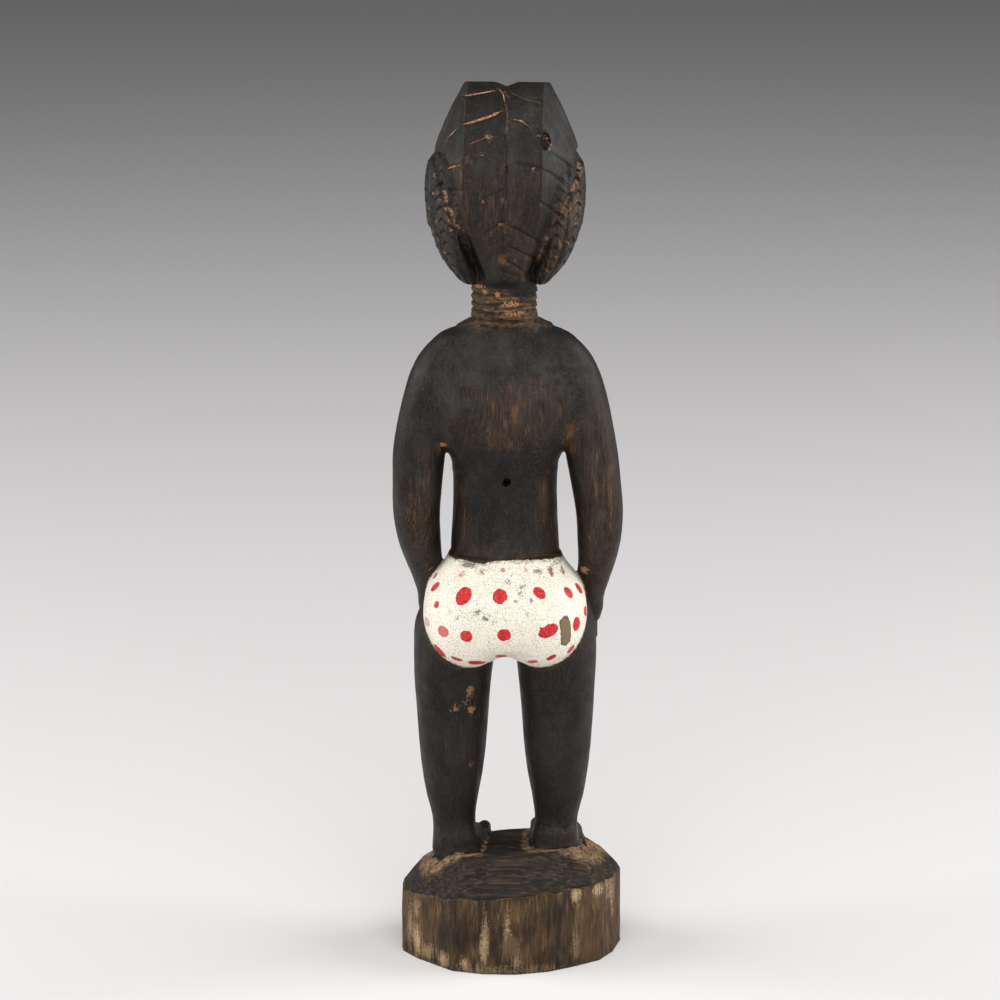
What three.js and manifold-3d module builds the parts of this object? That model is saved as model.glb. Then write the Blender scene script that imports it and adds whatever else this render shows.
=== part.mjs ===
// A standing wooden figure in Baule style, carved in one piece with its round base. Millimetres, +Z up.
// The face looks along -Y, and the origin is the middle of the flat underside.
import * as THREE from "three";
import { mergeVertices } from "three/addons/utils/BufferGeometryUtils.js";
import Module from "manifold-3d";

const wasm = await Module();
wasm.setup();

// Driving dimensions
const HEIGHT = 400; // underside to the top of the hairdress
const UNIT = HEIGHT / 400; // every table below is drawn for a figure 400 tall
const MIDLINE = 2.7; // the body stands this far to its left of the base's centre
const ARM_SIDES = 12;
const LEG_SIDES = 14;
const FOOT_SIDES = 12;
const BODY_SIDES = 20;
const HEAD_SIDES = 18;
const NECK_SIDES = 16;
const SMALL_SIDES = 8;
const MERGE_WITHIN = 1e-4;

// Base: an adzed drum whose rim falls to the figure's left and to the front, with a raised middle
// Each corner: its bearing in degrees from +X, and its distance from the origin
const BASE_CORNERS = [
  [7, 50.6],
  [23, 47.3],
  [55, 47.2],
  [74, 45.8],
  [93, 44.8],
  [113, 43.7],
  [134, 43.4],
  [152, 46.3],
  [170, 47.9],
  [192, 52.3],
  [216, 54],
  [240, 51],
  [268, 48],
  [298, 50],
  [325, 52],
  [346, 52.2],
];
const BASE_RIM = 32.7;
const BASE_RIM_TILT = { x: -0.072, y: 0.078 };
const BASE_TOP = 48.6;
const BASE_TOP_TILT = { x: -0.06, y: 0.04 };
const BASE_TOP_SHARE = 0.66; // the raised middle's radius against the rim's
const BASE_TOP_SHIFT = -4; // the raised middle lies a little towards the toes
const BASE_REACH = 50; // about the drum's radius
const BASE_CHAMFER = 0.6;
const RIM_SHARE = 0.99; // the sides lean in a little towards the rim
const SHOULDER_RISE = 0.6; // how far the sloping top has risen halfway in

// Body tables, each row: height, half width, front, back. A power over 2 squares the sections off.
const TORSO = [
  [168, 25, -21, 16],
  [182, 25, -22.5, 17],
  [192, 24.6, -23, 16],
  [205, 23.9, -21.5, 14.5],
  [220, 23.7, -19.5, 15],
  [232, 24.3, -20, 17.5],
  [245, 26.5, -21.5, 19.5],
  [258, 29.5, -20.5, 20],
  [270, 30, -17.5, 18.5],
  [280, 27, -14, 16],
  [287, 23.5, -11.5, 14],
  [291.5, 18.5, -10.5, 12.5],
  [294.5, 13.5, -8, 10],
];
// The shoulders and shoulder blades, one broad mass from arm to arm above the armpits
const YOKE_SQUARE = 2.6;
const YOKE = [
  [227, 20.5, -15, 14],
  [232, 25, -16, 16],
  [239, 32, -15.5, 18.6],
  [250, 37.5, -14, 20.6],
  [261, 38, -13, 20.2],
  [271, 35, -11.5, 18.4],
  [279.5, 30, -9.5, 15.6],
  [286.5, 23.5, -8, 12.6],
  [290.5, 16, -6, 9],
];
const HIPS_SQUARE = 2.4;
const HIPS = [
  [141, 17, -17, 17],
  [144, 25.5, -20, 25.5],
  [149, 32.5, -22, 31],
  [156, 36, -23.5, 33.6],
  [164, 36.8, -24.5, 33.3],
  [171, 35.4, -25, 30.8],
  [177, 31.6, -25, 26.8],
  [181, 28.2, -24.6, 23],
  [184, 26.4, -24.2, 19.8],
  [186, 25.4, -23.6, 17.8],
];
const BUTTOCK = { across: 16, y: 12.5, z: 157.5, w: 20, deep: 21, tall: 22, sides: 14 };

// Limb tables, each row: height, distance from the midline, half width, front, back
const LEG = [
  [47, 22.8, 10.4, -14, 8.5],
  [53, 22.9, 10.2, -12.5, 9.2],
  [62, 23.4, 10.1, -11.2, 9.4],
  [72, 24, 11.9, -13, 11.6],
  [84, 23.9, 14, -15.2, 14.4],
  [96, 23.8, 15.4, -17.3, 15.5],
  [108, 23.8, 16.3, -19.3, 15.8],
  [118, 23.8, 17, -19.8, 17.1],
  [130, 23.6, 17.9, -20.6, 18.8],
  [142, 22.9, 18.8, -21.5, 20],
  [154, 21.7, 19.3, -22, 19],
  [164, 20, 17, -21, 14],
];
const ARM = [
  [151, 33.4, 6.6, -26.2, -16],
  [157, 34, 7.4, -26, -12],
  [163, 34.8, 7, -24.8, -8.2],
  [171, 36.3, 7.6, -22.6, -3],
  [181, 38.5, 8.7, -19, 3.5],
  [192, 40.1, 10, -15.4, 8],
  [204, 40.8, 10.8, -12.2, 11],
  [218, 40, 11.5, -10.2, 12.9],
  [232, 38.8, 12.1, -10.2, 13.6],
  [247, 36.7, 11.8, -11, 14.3],
  [260, 33.5, 12.1, -11.8, 14.6],
  [270, 30.3, 11.9, -11.4, 14],
  [277, 27.5, 11.1, -10.2, 12.9],
  [283, 24.1, 9.3, -8.2, 11.2],
  [287.5, 21, 6.5, -5.8, 8.7],
  [290, 19, 2, -2, 5],
];

// How far each arm leans out of the table's line, and back, from the armpit down to the wrist
const ARM_LEAN = { left: { out: -1.7, back: 0 }, right: { out: 3.5, back: 5 }, from: 236, to: 174 };

// The hands lie on the thighs; places across are measured from the wrist's middle, outwards
const FINGERS = 4;
const FINGER = { radius: 1.9, first: -6, spacing: 3.2, top: 155, tip: 143.5, longest: 1.3, sunk: 0.3 };
const THUMB = { radius: 2.1, from: -3.6, to: -8.4, top: 158.5, tip: 149 };

// Feet: rows along the foot, each row: y, distance from the midline, half width, sole to top
const FOOT = [
  [9.6, 22.6, 6, 8],
  [7.5, 22.8, 9.2, 11.5],
  [2, 22.8, 10.3, 14],
  [-6, 22.4, 10.6, 13.5],
  [-14, 21.8, 11.6, 10.8],
  [-21, 21.2, 12.4, 8],
  [-25.5, 21, 12.2, 6.6],
];
const TOES = 5;
const TOE = { y: -25, length: 6.5, root: 6, taper: 0.35, lift: 0.8 };
const TOE_ROW = { width: 24.4, big: 3.3, small: 1.9, overlap: 0.2 };
const SOLE_SUNK = 1.2; // the foot runs into the base by this much
const FOOT_TURN = { slope: 0.09, about: 5 }; // both feet point a little to the figure's right, from this y on

// Neck: a post with grooves cut round it, each at one of these heights
const NECK = { x: 0.4, y: 0.2, from: 284, to: 322, radius: 15.3, depth: 0.9, grooveHalf: 0.9 };
const NECK_GROOVES = [290.6, 293.6, 297.5, 301.4, 305.1];

// Head tables: the skull's rows are height, half width, front, back
const SKULL = [
  [308.2, 8, -22, 8],
  [310.6, 12.5, -30.5, 10],
  [316, 17.2, -33.6, 12],
  [324, 21.8, -34, 14],
  [334, 25.2, -33.4, 16],
  [345, 26.8, -33, 18],
  [356, 26.8, -32.4, 18],
  [366, 25.4, -30.2, 16],
  [374, 21, -25, 12],
];
// Crest rows: height, half width at the side corner, its y, back, front, half width at the back corner
const CREST = [
  [307, 7, 6, 13, -2, 4],
  [311.2, 10.2, 10.5, 18.5, -4, 6.5],
  [319, 14.6, 12.5, 23.4, -8, 9.5],
  [328, 19.3, 13.5, 27.2, -14, 13],
  [337, 23.5, 13.5, 29.8, -20, 15.5],
  [346, 27.4, 12, 31, -26, 17.2],
  [356, 30.6, 9, 30.9, -31, 17.8],
  [369, 33, 4, 28.6, -33.6, 17.8],
  [382, 28.5, 2, 23.6, -29.4, 17.6],
  [392, 23.8, 0.5, 17.6, -22.5, 17.3],
  [400, 18.9, -0.5, 6.5, -14, 16.8],
];
const CORNER_SETBACK = 1.8; // a crest's back corner lies this far in front of its ridge
const FRONT_SETBACK = 3;
const FRONT_NARROWING = 0.9;
const CREST_TURN = -0.085; // the hairdress is turned a little to the figure's left, radians
const CREST_SHIFT = -0.9;
const CREST_DROP = 0.13; // the flat top falls this much for each unit towards the face
const PARTING = { half: 3, depth: 1.4, notchHalf: 5.4, notchDepth: 2.2, notchLength: 80 };
const CHEVRONS = { count: 7, first: 393, pitch: 10.4, fall: 0.42, radius: 0.85, aboveFace: 2 };
const SIDE_CUT = { fall: 6.8, reach: 0.62, lowest: 330 }; // each chevron's short end, round the corner
// Side lock rows: height, distance of its centre, half width, front, back
const SIDE_LOCK = [
  [309, 15, 3.8, -1.5, 9.5],
  [311.6, 16, 5.4, -4.6, 13.3],
  [316.6, 17.6, 8.2, -8.8, 18],
  [323, 19.2, 10.6, -12.2, 21.2],
  [331, 20.2, 12.8, -15.5, 23.6],
  [341, 20.8, 14.9, -17.5, 24.4],
  [350, 20.9, 15.6, -18, 23.6],
  [358, 20.6, 15.6, -17, 21.4],
  [364, 20, 15, -15, 18.6],
  [368.5, 18.5, 13.5, -12.5, 15],
];
const BRAIDS = 9; // braid rows round each side lock
const BRAID_DEPTH = 0.055;
const FACE_OPENING = { halfWidth: 22.5, foot: 300, archFrom: 343, archTop: 366.5, back: -8, deep: 60 };

// Face and ears
const BROW = {
  points: [
    [2.6, 349.5],
    [10.5, 354.5],
    [19.5, 350],
  ],
  proud: 0.2,
  radius: 1.5,
};
const EYE = { across: 10.8, y: -31.4, z: 344, w: 6.6, deep: 3.4, tall: 3.3 };
const EYE_SLIT = { width: 9.9, deep: 2.4, tall: 0.9, z: 343.6 };
const NOSE = [
  [329.6, 4, -33, -28],
  [331.5, 5, -37.6, -28],
  [333.6, 4.8, -39.4, -28],
  [338, 3, -38, -28],
  [345, 2.3, -35.8, -28],
  [352, 2.6, -33.8, -28],
];
const LIPS = { y: -32.8, upper: 325, lower: 321.8, w: 6.6, lowerW: 5.6, deep: 3, tall: 1.55 };
const EAR = { across: 31.6, y: -10, z: 340, w: 4.6, deep: 5.6, tall: 9 };
const EAR_HOLLOW = { across: 36.4, y: -11.2, w: 3.2, deep: 3.4, tall: 6 };

// Front of the body
const NAVEL = { z: 199, y: -22.6, radius: 2.2 };
const BREAST = { across: 11.5, y: -15.5, z: 252, w: 11, deep: 7.5, tall: 9.5 };

// Damage: a deep pit in the hairdress and a worm hole in the small of the back
const PIT = { x: -17.8, y: 25, z: 376, w: 2.6, deep: 5.4, tall: 3.8 };
const WORM_HOLE = { x: -0.8, y: 15.5, z: 220.8, radius: 1.5, depth: 6 };

const TURN = 2 * Math.PI;

// Smooth curves through a table's rows: returns the row at any value of its first column.
function curveThrough(rows) {
  const keys = rows.map((row) => row[0]);
  const spline = new THREE.CubicInterpolant(keys, rows.flatMap((row) => row.slice(1)), rows[0].length - 1);
  return (key) => Array.from(spline.evaluate(key));
}

// A closed skin over rings of points that run anticlockwise seen from the last ring, with a fan at each end.
function skin(rings) {
  const sides = rings[0].length;
  const centres = [rings[0], rings.at(-1)].map((ring) =>
    ring.reduce((sum, p) => sum.add(p), new THREE.Vector3()).divideScalar(sides),
  );
  const points = [...rings.flat(), ...centres];
  const bottomCentre = rings.length * sides;
  const topCentre = bottomCentre + 1;
  const topRing = (rings.length - 1) * sides;
  const faces = [];
  for (let side = 0; side < sides; side++) {
    const next = (side + 1) % sides;
    for (let ring = 0; ring < topRing; ring += sides) {
      faces.push(ring + side, ring + next, ring + sides + next);
      faces.push(ring + side, ring + sides + next, ring + sides + side);
    }
    faces.push(bottomCentre, next, side);
    faces.push(topCentre, topRing + side, topRing + next);
  }
  return new THREE.BufferGeometry().setFromPoints(points).setIndex(faces);
}

const ellipse = () => 1;

// Makes an oval's section squarer, or cuts flutes into it: the reach at a bearing against a plain ellipse's.
const squared = (power) => (turn) => {
  const across = Math.abs(Math.cos(turn)) ** power;
  const along = Math.abs(Math.sin(turn)) ** power;
  return (across + along) ** (-1 / power);
};
const fluted = (count, depth) => (turn) => 1 - depth * (1 - Math.abs(Math.sin((turn * count) / 2)));

// A level ring of points, an ellipse of the given half width, front and back, reshaped by reach.
function oval(z, x, halfWidth, front, back, sides, reach = ellipse) {
  const middle = (front + back) / 2;
  return Array.from({ length: sides }, (_, i) => {
    const turn = (i / sides) * TURN;
    return new THREE.Vector3(
      x + halfWidth * reach(turn) * Math.cos(turn),
      middle + ((back - front) / 2) * reach(turn) * Math.sin(turn),
      z,
    );
  });
}

// A body form from a table of height, half width, front and back.
function bodyForm(rows, sides, reach) {
  const ring = ([z, halfWidth, front, back]) => oval(z, MIDLINE, halfWidth, front, back, sides, reach);
  return skin(rows.map(ring));
}

// A limb from a table of height, distance from the midline, half width, front and back.
function limbForm(rows, side, sides, reach) {
  return skin(
    rows.map(([z, out, halfWidth, front, back]) =>
      oval(z, MIDLINE + side * out, halfWidth, front, back, sides, reach),
    ),
  );
}

// An ellipsoid by its centre and half sizes.
function ellipsoid(x, y, z, w, deep, tall, sides = 10) {
  return new THREE.SphereGeometry(1, sides, Math.round(sides * 0.6))
    .scale(w, tall, deep)
    .rotateX(Math.PI / 2)
    .translate(x, y, z);
}

// Turns a form drawn upright in y to run from one point to another.
function laidBetween(from, to, form) {
  const along = new THREE.Vector3().subVectors(to, from).normalize();
  const turn = new THREE.Quaternion().setFromUnitVectors(new THREE.Vector3(0, 1, 0), along);
  const middle = from.clone().add(to).multiplyScalar(0.5);
  return form.applyQuaternion(turn).translate(...middle);
}

// A bar with round ends from one point to another.
function bar(from, to, radius, sides = 6) {
  return laidBetween(from, to, new THREE.CapsuleGeometry(radius, from.distanceTo(to), 2, sides));
}

// A bar of round section along a smooth curve through some points, tapered to a share at both ends.
function bentBar(points, radius, endShare = 0.45, sides = 6, steps = 8) {
  const curve = new THREE.CatmullRomCurve3(points);
  const { normals, binormals } = curve.computeFrenetFrames(steps);
  const rings = Array.from({ length: steps + 1 }, (_, step) => {
    const share = step / steps;
    const reach = radius * THREE.MathUtils.lerp(endShare, 1, Math.sin(Math.PI * share));
    const middle = curve.getPointAt(share);
    return Array.from({ length: sides }, (_, i) => {
      const turn = (i / sides) * TURN;
      return middle
        .clone()
        .addScaledVector(normals[step], reach * Math.cos(turn))
        .addScaledVector(binormals[step], reach * Math.sin(turn));
    });
  });
  return skin(rings);
}

// A square-section cutter from one point to another, which leaves a V groove.
function graver(from, to, radius) {
  return laidBetween(from, to, new THREE.CylinderGeometry(radius, radius, from.distanceTo(to), 4));
}

// A geometry as a manifold-3d solid, and several joined into one.
function solidOf(geometry) {
  const bare = geometry.clone();
  for (const name of Object.keys(bare.attributes)) if (name !== "position") bare.deleteAttribute(name);
  const merged = mergeVertices(bare, MERGE_WITHIN);
  return new wasm.Manifold(
    new wasm.Mesh({
      numProp: 3,
      vertProperties: merged.attributes.position.array,
      triVerts: new Uint32Array(merged.index.array),
    }),
  );
}

function joined(geometries) {
  return geometries.map(solidOf).reduce((whole, part) => whole.add(part));
}

function geometryOf(solid) {
  const { vertProperties, triVerts } = solid.getMesh();
  return new THREE.BufferGeometry()
    .setAttribute("position", new THREE.BufferAttribute(vertProperties, 3))
    .setIndex(new THREE.BufferAttribute(triVerts, 1));
}

const bothSides = (make) => [1, -1].map(make);

const baseTop = (x, y) => BASE_TOP + BASE_TOP_TILT.x * x + BASE_TOP_TILT.y * y;
const footShift = (y) => FOOT_TURN.slope * (y - FOOT_TURN.about);

function base() {
  const ring = (share, height, shift = 0) =>
    BASE_CORNERS.map(([bearing, reach]) => {
      const x = reach * share * Math.cos(THREE.MathUtils.degToRad(bearing));
      const y = reach * share * Math.sin(THREE.MathUtils.degToRad(bearing)) + shift;
      return new THREE.Vector3(x, y, height(x, y));
    });
  const rim = (x, y) => BASE_RIM + BASE_RIM_TILT.x * x + BASE_RIM_TILT.y * y;
  const shoulder = (x, y) => THREE.MathUtils.lerp(rim(x, y), baseTop(x, y), SHOULDER_RISE);
  return skin([
    ring(1 - BASE_CHAMFER / BASE_REACH, () => 0),
    ring(1, () => BASE_CHAMFER),
    ring(RIM_SHARE, rim),
    ring((1 + BASE_TOP_SHARE) / 2, shoulder, BASE_TOP_SHIFT / 2),
    ring(BASE_TOP_SHARE, baseTop, BASE_TOP_SHIFT),
  ]);
}

function foot(side) {
  const rings = FOOT.map(([y, out, halfWidth, tall]) => {
    const middle = MIDLINE + side * out + footShift(y);
    return Array.from({ length: FOOT_SIDES }, (_, i) => {
      const turn = (i / FOOT_SIDES) * TURN;
      const rise = Math.sin(turn) > 0 ? tall : SOLE_SUNK;
      const z = baseTop(middle, y) + rise * Math.sin(turn);
      return new THREE.Vector3(middle + halfWidth * Math.cos(turn), y, z);
    });
  });
  return [skin(rings), ...toes(side)];
}

// The toes of one foot, from the big toe outwards.
function toes(side) {
  const { width, big, small, overlap } = TOE_ROW;
  const middle = MIDLINE + side * FOOT.at(-1)[1] + footShift(TOE.y);
  return Array.from({ length: TOES }, (_, i) => {
    const share = i / (TOES - 1);
    const radius = THREE.MathUtils.lerp(big, small, share);
    const span = width - big - small - radius * overlap;
    const x = middle + side * (radius + share * span - width / 2);
    const z = baseTop(x, TOE.y) + radius * TOE.lift;
    const tip = TOE.y - TOE.length * (1 - TOE.taper * share);
    return bar(new THREE.Vector3(x, TOE.y + TOE.root, z), new THREE.Vector3(x, tip + radius, z), radius);
  });
}

function armRows(side) {
  const { left, right, from, to } = ARM_LEAN;
  const lean = side > 0 ? left : right;
  return ARM.map(([z, out, halfWidth, front, back]) => {
    const share = THREE.MathUtils.clamp((from - z) / (from - to), 0, 1);
    return [z, out + lean.out * share, halfWidth, front + lean.back * share, back + lean.back * share];
  });
}

function arm(side) {
  return limbForm(armRows(side), side, ARM_SIDES);
}

// The y of an oval's front at a share of its half width from its middle.
function ovalFront(share, front, back) {
  return (front + back) / 2 + ((front - back) / 2) * Math.sqrt(Math.max(0, 1 - share ** 2));
}

// The front surface of a thigh at a distance from the midline and a height.
function thighFront(out, z) {
  const [middle, halfWidth, front, back] = curveThrough(LEG)(z);
  return ovalFront((out - middle) / halfWidth, front, back);
}

function hand(side) {
  const [, wristOut, , front, back] = armRows(side)[0];
  const digit = (from, to, top, tip, radius) => {
    const knuckle = new THREE.Vector3(MIDLINE + side * (wristOut + from), (front + back) / 2, top);
    const end = new THREE.Vector3(
      MIDLINE + side * (wristOut + to),
      thighFront(wristOut + to, tip) + FINGER.sunk - radius / 2,
      tip,
    );
    return bar(knuckle, end, radius);
  };
  const fingers = Array.from({ length: FINGERS }, (_, i) => {
    const across = FINGER.first + i * FINGER.spacing;
    return digit(across, across, FINGER.top, FINGER.tip + Math.abs(i - FINGER.longest), FINGER.radius);
  });
  return [...fingers, digit(THUMB.from, THUMB.to, THUMB.top, THUMB.tip, THUMB.radius)];
}

function neck() {
  const { x, y, from, to, radius, depth, grooveHalf } = NECK;
  const grooves = NECK_GROOVES.flatMap((z) => [
    [z - grooveHalf, radius],
    [z, radius - depth],
    [z + grooveHalf, radius],
  ]);
  const rows = [[from, radius], ...grooves, [to, radius]];
  return skin(rows.map(([z, reach]) => oval(z, MIDLINE + x, reach, y - reach, y + reach, NECK_SIDES)));
}

// The crest's outline at one height: side, back and front corners, with the parting cut front and back.
function crestRing(z, [side, sideY, back, front, corner]) {
  const { half, depth } = PARTING;
  const rearHalf = Math.min(half, corner / 2);
  const frontCorner = corner * FRONT_NARROWING;
  const rear = [
    [corner, back - CORNER_SETBACK],
    [rearHalf, back],
  ];
  const fore = [
    [frontCorner, front + FRONT_SETBACK],
    [rearHalf, front],
  ];
  const mirrored = (points) => points.map(([x, y]) => [-x, y]);
  const outline = [
    [side, sideY],
    ...rear,
    [0, back - depth],
    ...mirrored(rear).reverse(),
    [-side, sideY],
    ...mirrored(fore),
    [0, front + depth],
    ...fore.reverse(),
  ];
  const drop = z > CREST.at(-2)[0] ? CREST_DROP : 0;
  return outline.map(([x, y]) => new THREE.Vector3(x, y, z - drop * (back - y)));
}

// Sets a form drawn about the crest's own midline where the crest stands.
const onHead = (form) => form.rotateZ(CREST_TURN).translate(MIDLINE + CREST_SHIFT, 0, 0);

function crest() {
  return onHead(skin(CREST.map(([z, ...row]) => crestRing(z, row))));
}

// Chevron cuts that fall outwards from the parting over the back of the crest, and again over its front.
function chevrons() {
  const at = curveThrough(CREST);
  const { count, first, pitch, fall, radius, aboveFace } = CHEVRONS;
  const cuts = [];
  for (let i = 0; i < count; i++) {
    const z = first - i * pitch;
    for (const side of [1, -1]) {
      const [, , back, front, corner] = at(z);
      const low = z - corner * fall;
      const [, , lowBack, lowFront, lowCorner] = at(low);
      const inner = new THREE.Vector3(side, back, z);
      const outer = new THREE.Vector3(side * lowCorner, lowBack - CORNER_SETBACK, low);
      cuts.push(graver(inner, outer, radius));
      const end = low - SIDE_CUT.fall;
      const [endSide, endY, endBack, , endCorner] = at(end);
      const x = THREE.MathUtils.lerp(endCorner, endSide, SIDE_CUT.reach);
      const y = THREE.MathUtils.lerp(endBack - CORNER_SETBACK, endY, SIDE_CUT.reach);
      if (end > SIDE_CUT.lowest) cuts.push(graver(outer, new THREE.Vector3(side * x, y, end), radius));
      const frontInner = new THREE.Vector3(side, front, z);
      const frontOuter = new THREE.Vector3(side * lowCorner * FRONT_NARROWING, lowFront + FRONT_SETBACK, low);
      if (low > FACE_OPENING.archTop + aboveFace) cuts.push(graver(frontInner, frontOuter, radius));
    }
  }
  return cuts.map(onHead);
}

// The V notch that the parting cuts across the flat top.
function topNotch() {
  const { notchHalf, notchDepth, notchLength } = PARTING;
  const outline = new THREE.Shape();
  outline.moveTo(0, -notchDepth);
  outline.lineTo(notchHalf, 1);
  outline.lineTo(-notchHalf, 1);
  const notch = new THREE.ExtrudeGeometry(outline, { depth: notchLength, bevelEnabled: false })
    .translate(0, 0, -notchLength / 2)
    .rotateX(Math.PI / 2)
    .rotateX(Math.atan(CREST_DROP))
    .translate(0, 0, CREST.at(-1)[0] - CREST_DROP * CREST.at(-1)[3]);
  return onHead(notch);
}

function sideLock(side) {
  return limbForm(SIDE_LOCK, side, BRAIDS * 3, fluted(BRAIDS, BRAID_DEPTH));
}

// The arched space that the hair leaves for the face.
function faceOpening() {
  const { halfWidth, foot, archFrom, archTop, back, deep } = FACE_OPENING;
  const outline = new THREE.Shape();
  outline.moveTo(-halfWidth, foot);
  outline.lineTo(halfWidth, foot);
  outline.lineTo(halfWidth, archFrom);
  outline.absellipse(0, archFrom, halfWidth, archTop - archFrom, 0, Math.PI);
  outline.lineTo(-halfWidth, foot);
  return new THREE.ExtrudeGeometry(outline, { depth: deep, bevelEnabled: false, curveSegments: 10 })
    .rotateX(Math.PI / 2)
    .translate(MIDLINE, back, 0);
}

// The skull's front surface at a distance from the midline and a height.
function skullFront(x, z) {
  const [halfWidth, front, back] = curveThrough(SKULL)(z);
  return ovalFront(x / halfWidth, front, back);
}

function brow(side) {
  const place = ([x, z]) => new THREE.Vector3(MIDLINE + side * x, skullFront(x, z) - BROW.proud, z);
  return bentBar(BROW.points.map(place), BROW.radius);
}

function eye(side) {
  const { across, y, z, w, deep, tall } = EYE;
  return ellipsoid(MIDLINE + side * across, y, z, w, deep, tall);
}

function eyeSlit(side) {
  const { width, deep, tall, z } = EYE_SLIT;
  return new THREE.BoxGeometry(width, deep, tall).translate(MIDLINE + side * EYE.across, EYE.y - EYE.deep, z);
}

function ear(side) {
  const { across, y, z, w, deep, tall } = EAR;
  return ellipsoid(MIDLINE + side * across, y, z, w, deep, tall);
}

function earHollow(side) {
  const { across, y, w, deep, tall } = EAR_HOLLOW;
  return ellipsoid(MIDLINE + side * across, y, EAR.z, w, deep, tall);
}

function head() {
  const hair = joined([crest(), ...bothSides(sideLock)]).subtract(solidOf(faceOpening()));
  const face = joined([
    bodyForm(SKULL, HEAD_SIDES),
    bodyForm(NOSE, SMALL_SIDES),
    ...bothSides(brow),
    ...bothSides(eye),
    ellipsoid(MIDLINE, LIPS.y, LIPS.upper, LIPS.w, LIPS.deep, LIPS.tall),
    ellipsoid(MIDLINE, LIPS.y, LIPS.lower, LIPS.lowerW, LIPS.deep, LIPS.tall),
  ]).subtract(joined(bothSides(eyeSlit)));
  const ears = joined(bothSides(ear)).subtract(joined(bothSides(earHollow)));
  const pit = ellipsoid(MIDLINE + PIT.x, PIT.y, PIT.z, PIT.w, PIT.deep, PIT.tall, SMALL_SIDES);
  return hair.add(face).add(ears).subtract(joined([...chevrons(), topNotch(), pit]));
}

function trunk() {
  const { across, y, z, w, deep, tall, sides } = BUTTOCK;
  return joined([
    bodyForm(TORSO, BODY_SIDES),
    bodyForm(YOKE, BODY_SIDES, squared(YOKE_SQUARE)),
    bodyForm(HIPS, BODY_SIDES, squared(HIPS_SQUARE)),
    ...bothSides((side) => ellipsoid(MIDLINE + side * across, y, z, w, deep, tall, sides)),
    ...bothSides((side) =>
      ellipsoid(MIDLINE + side * BREAST.across, BREAST.y, BREAST.z, BREAST.w, BREAST.deep, BREAST.tall),
    ),
    ellipsoid(MIDLINE, NAVEL.y, NAVEL.z, NAVEL.radius, NAVEL.radius, NAVEL.radius, SMALL_SIDES),
  ]);
}

function wormHole() {
  const { x, y, z, radius, depth } = WORM_HOLE;
  return new THREE.CylinderGeometry(radius, radius, depth * 2, SMALL_SIDES).translate(MIDLINE + x, y, z);
}

function figure() {
  const limbs = bothSides((side) => [
    limbForm(LEG, side, LEG_SIDES),
    arm(side),
    ...foot(side),
    ...hand(side),
  ]).flat();
  return joined([base(), ...limbs, neck()])
    .add(trunk())
    .add(head())
    .subtract(solidOf(wormHole()));
}

const wood = new THREE.MeshStandardMaterial({
  name: "carved_wood",
  color: 0x2b2420,
  roughness: 0.62,
  metalness: 0,
});
const carving = new THREE.Mesh(geometryOf(figure()).scale(UNIT, UNIT, UNIT), wood);
carving.name = "figure";

const part = new THREE.Group();
part.add(carving);

export default part;
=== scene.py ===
"""The look of a standing wooden figure: carving, paint, wear and grain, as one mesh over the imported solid."""

import functools
import itertools
import math

import bpy
import numpy as np
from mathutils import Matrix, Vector


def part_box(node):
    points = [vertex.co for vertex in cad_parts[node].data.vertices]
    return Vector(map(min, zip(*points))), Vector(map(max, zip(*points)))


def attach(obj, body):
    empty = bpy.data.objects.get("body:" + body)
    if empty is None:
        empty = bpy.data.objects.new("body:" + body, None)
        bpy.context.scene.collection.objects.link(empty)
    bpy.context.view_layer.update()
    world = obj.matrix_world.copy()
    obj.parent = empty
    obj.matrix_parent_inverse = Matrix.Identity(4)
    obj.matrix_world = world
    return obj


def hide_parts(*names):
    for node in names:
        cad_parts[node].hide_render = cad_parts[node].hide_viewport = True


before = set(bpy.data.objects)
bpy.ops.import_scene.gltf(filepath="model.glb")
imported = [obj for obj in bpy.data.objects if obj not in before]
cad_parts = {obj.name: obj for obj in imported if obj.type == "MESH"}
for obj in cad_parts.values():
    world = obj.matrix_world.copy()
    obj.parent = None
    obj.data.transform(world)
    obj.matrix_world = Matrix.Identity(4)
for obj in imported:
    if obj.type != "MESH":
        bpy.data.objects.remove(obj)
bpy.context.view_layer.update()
NODE_LOW, NODE_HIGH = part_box("figure")
HEIGHT = 400  # every table below is drawn in millimetres for a figure this tall
MM = (NODE_HIGH[2] - NODE_LOW[2]) / HEIGHT
MIDLINE = 2.7  # the body stands this far to its left of the base's centre
MOST_TRIANGLES = 194000
SIDES = (1, -1)
FAR, OUTSIDE, TINY = 99.0, -9.0, 1e-6
SCORED = (5, 60)  # knife cuts on the back reach over these y, and the other way round on the front
# The grid that the form is carved in, by axis: stretches from, to and step
GRID = [
    [(-53.5, 56, 0.6)],
    [(-50.5, 48.5, 0.6)],
    [(-1.6, 58, 0.75), (58, 138, 0.95), (138, 191, 0.65), (191, 284, 0.85), (284, 402, 0.52)],
]

# Each row: height, half width, front, back
TORSO = [
    (168, 25, -21, 16), (182, 25, -22.5, 17), (192, 24.6, -23, 16), (205, 23.9, -21.5, 14.5),
    (220, 23.7, -19.5, 15), (232, 24.3, -20, 17.5), (245, 26.5, -21.5, 19.5), (258, 29.5, -20.5, 20),
    (270, 30, -17.5, 18.5), (280, 27, -14, 16), (287, 23.5, -11.5, 14), (291.5, 18.5, -10.5, 12.5),
    (294.5, 13.5, -8, 10),
]
YOKE_SQUARE = 2.6
YOKE = [
    (227, 20.5, -15, 14), (232, 25, -16, 16), (239, 32, -15.5, 18.6), (250, 37.5, -14, 20.6),
    (261, 38, -13, 20.2), (271, 35, -11.5, 18.4), (279.5, 30, -9.5, 15.6), (286.5, 23.5, -8, 12.6),
    (290.5, 16, -6, 9),
]
HIPS_SQUARE = 2.4
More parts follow.
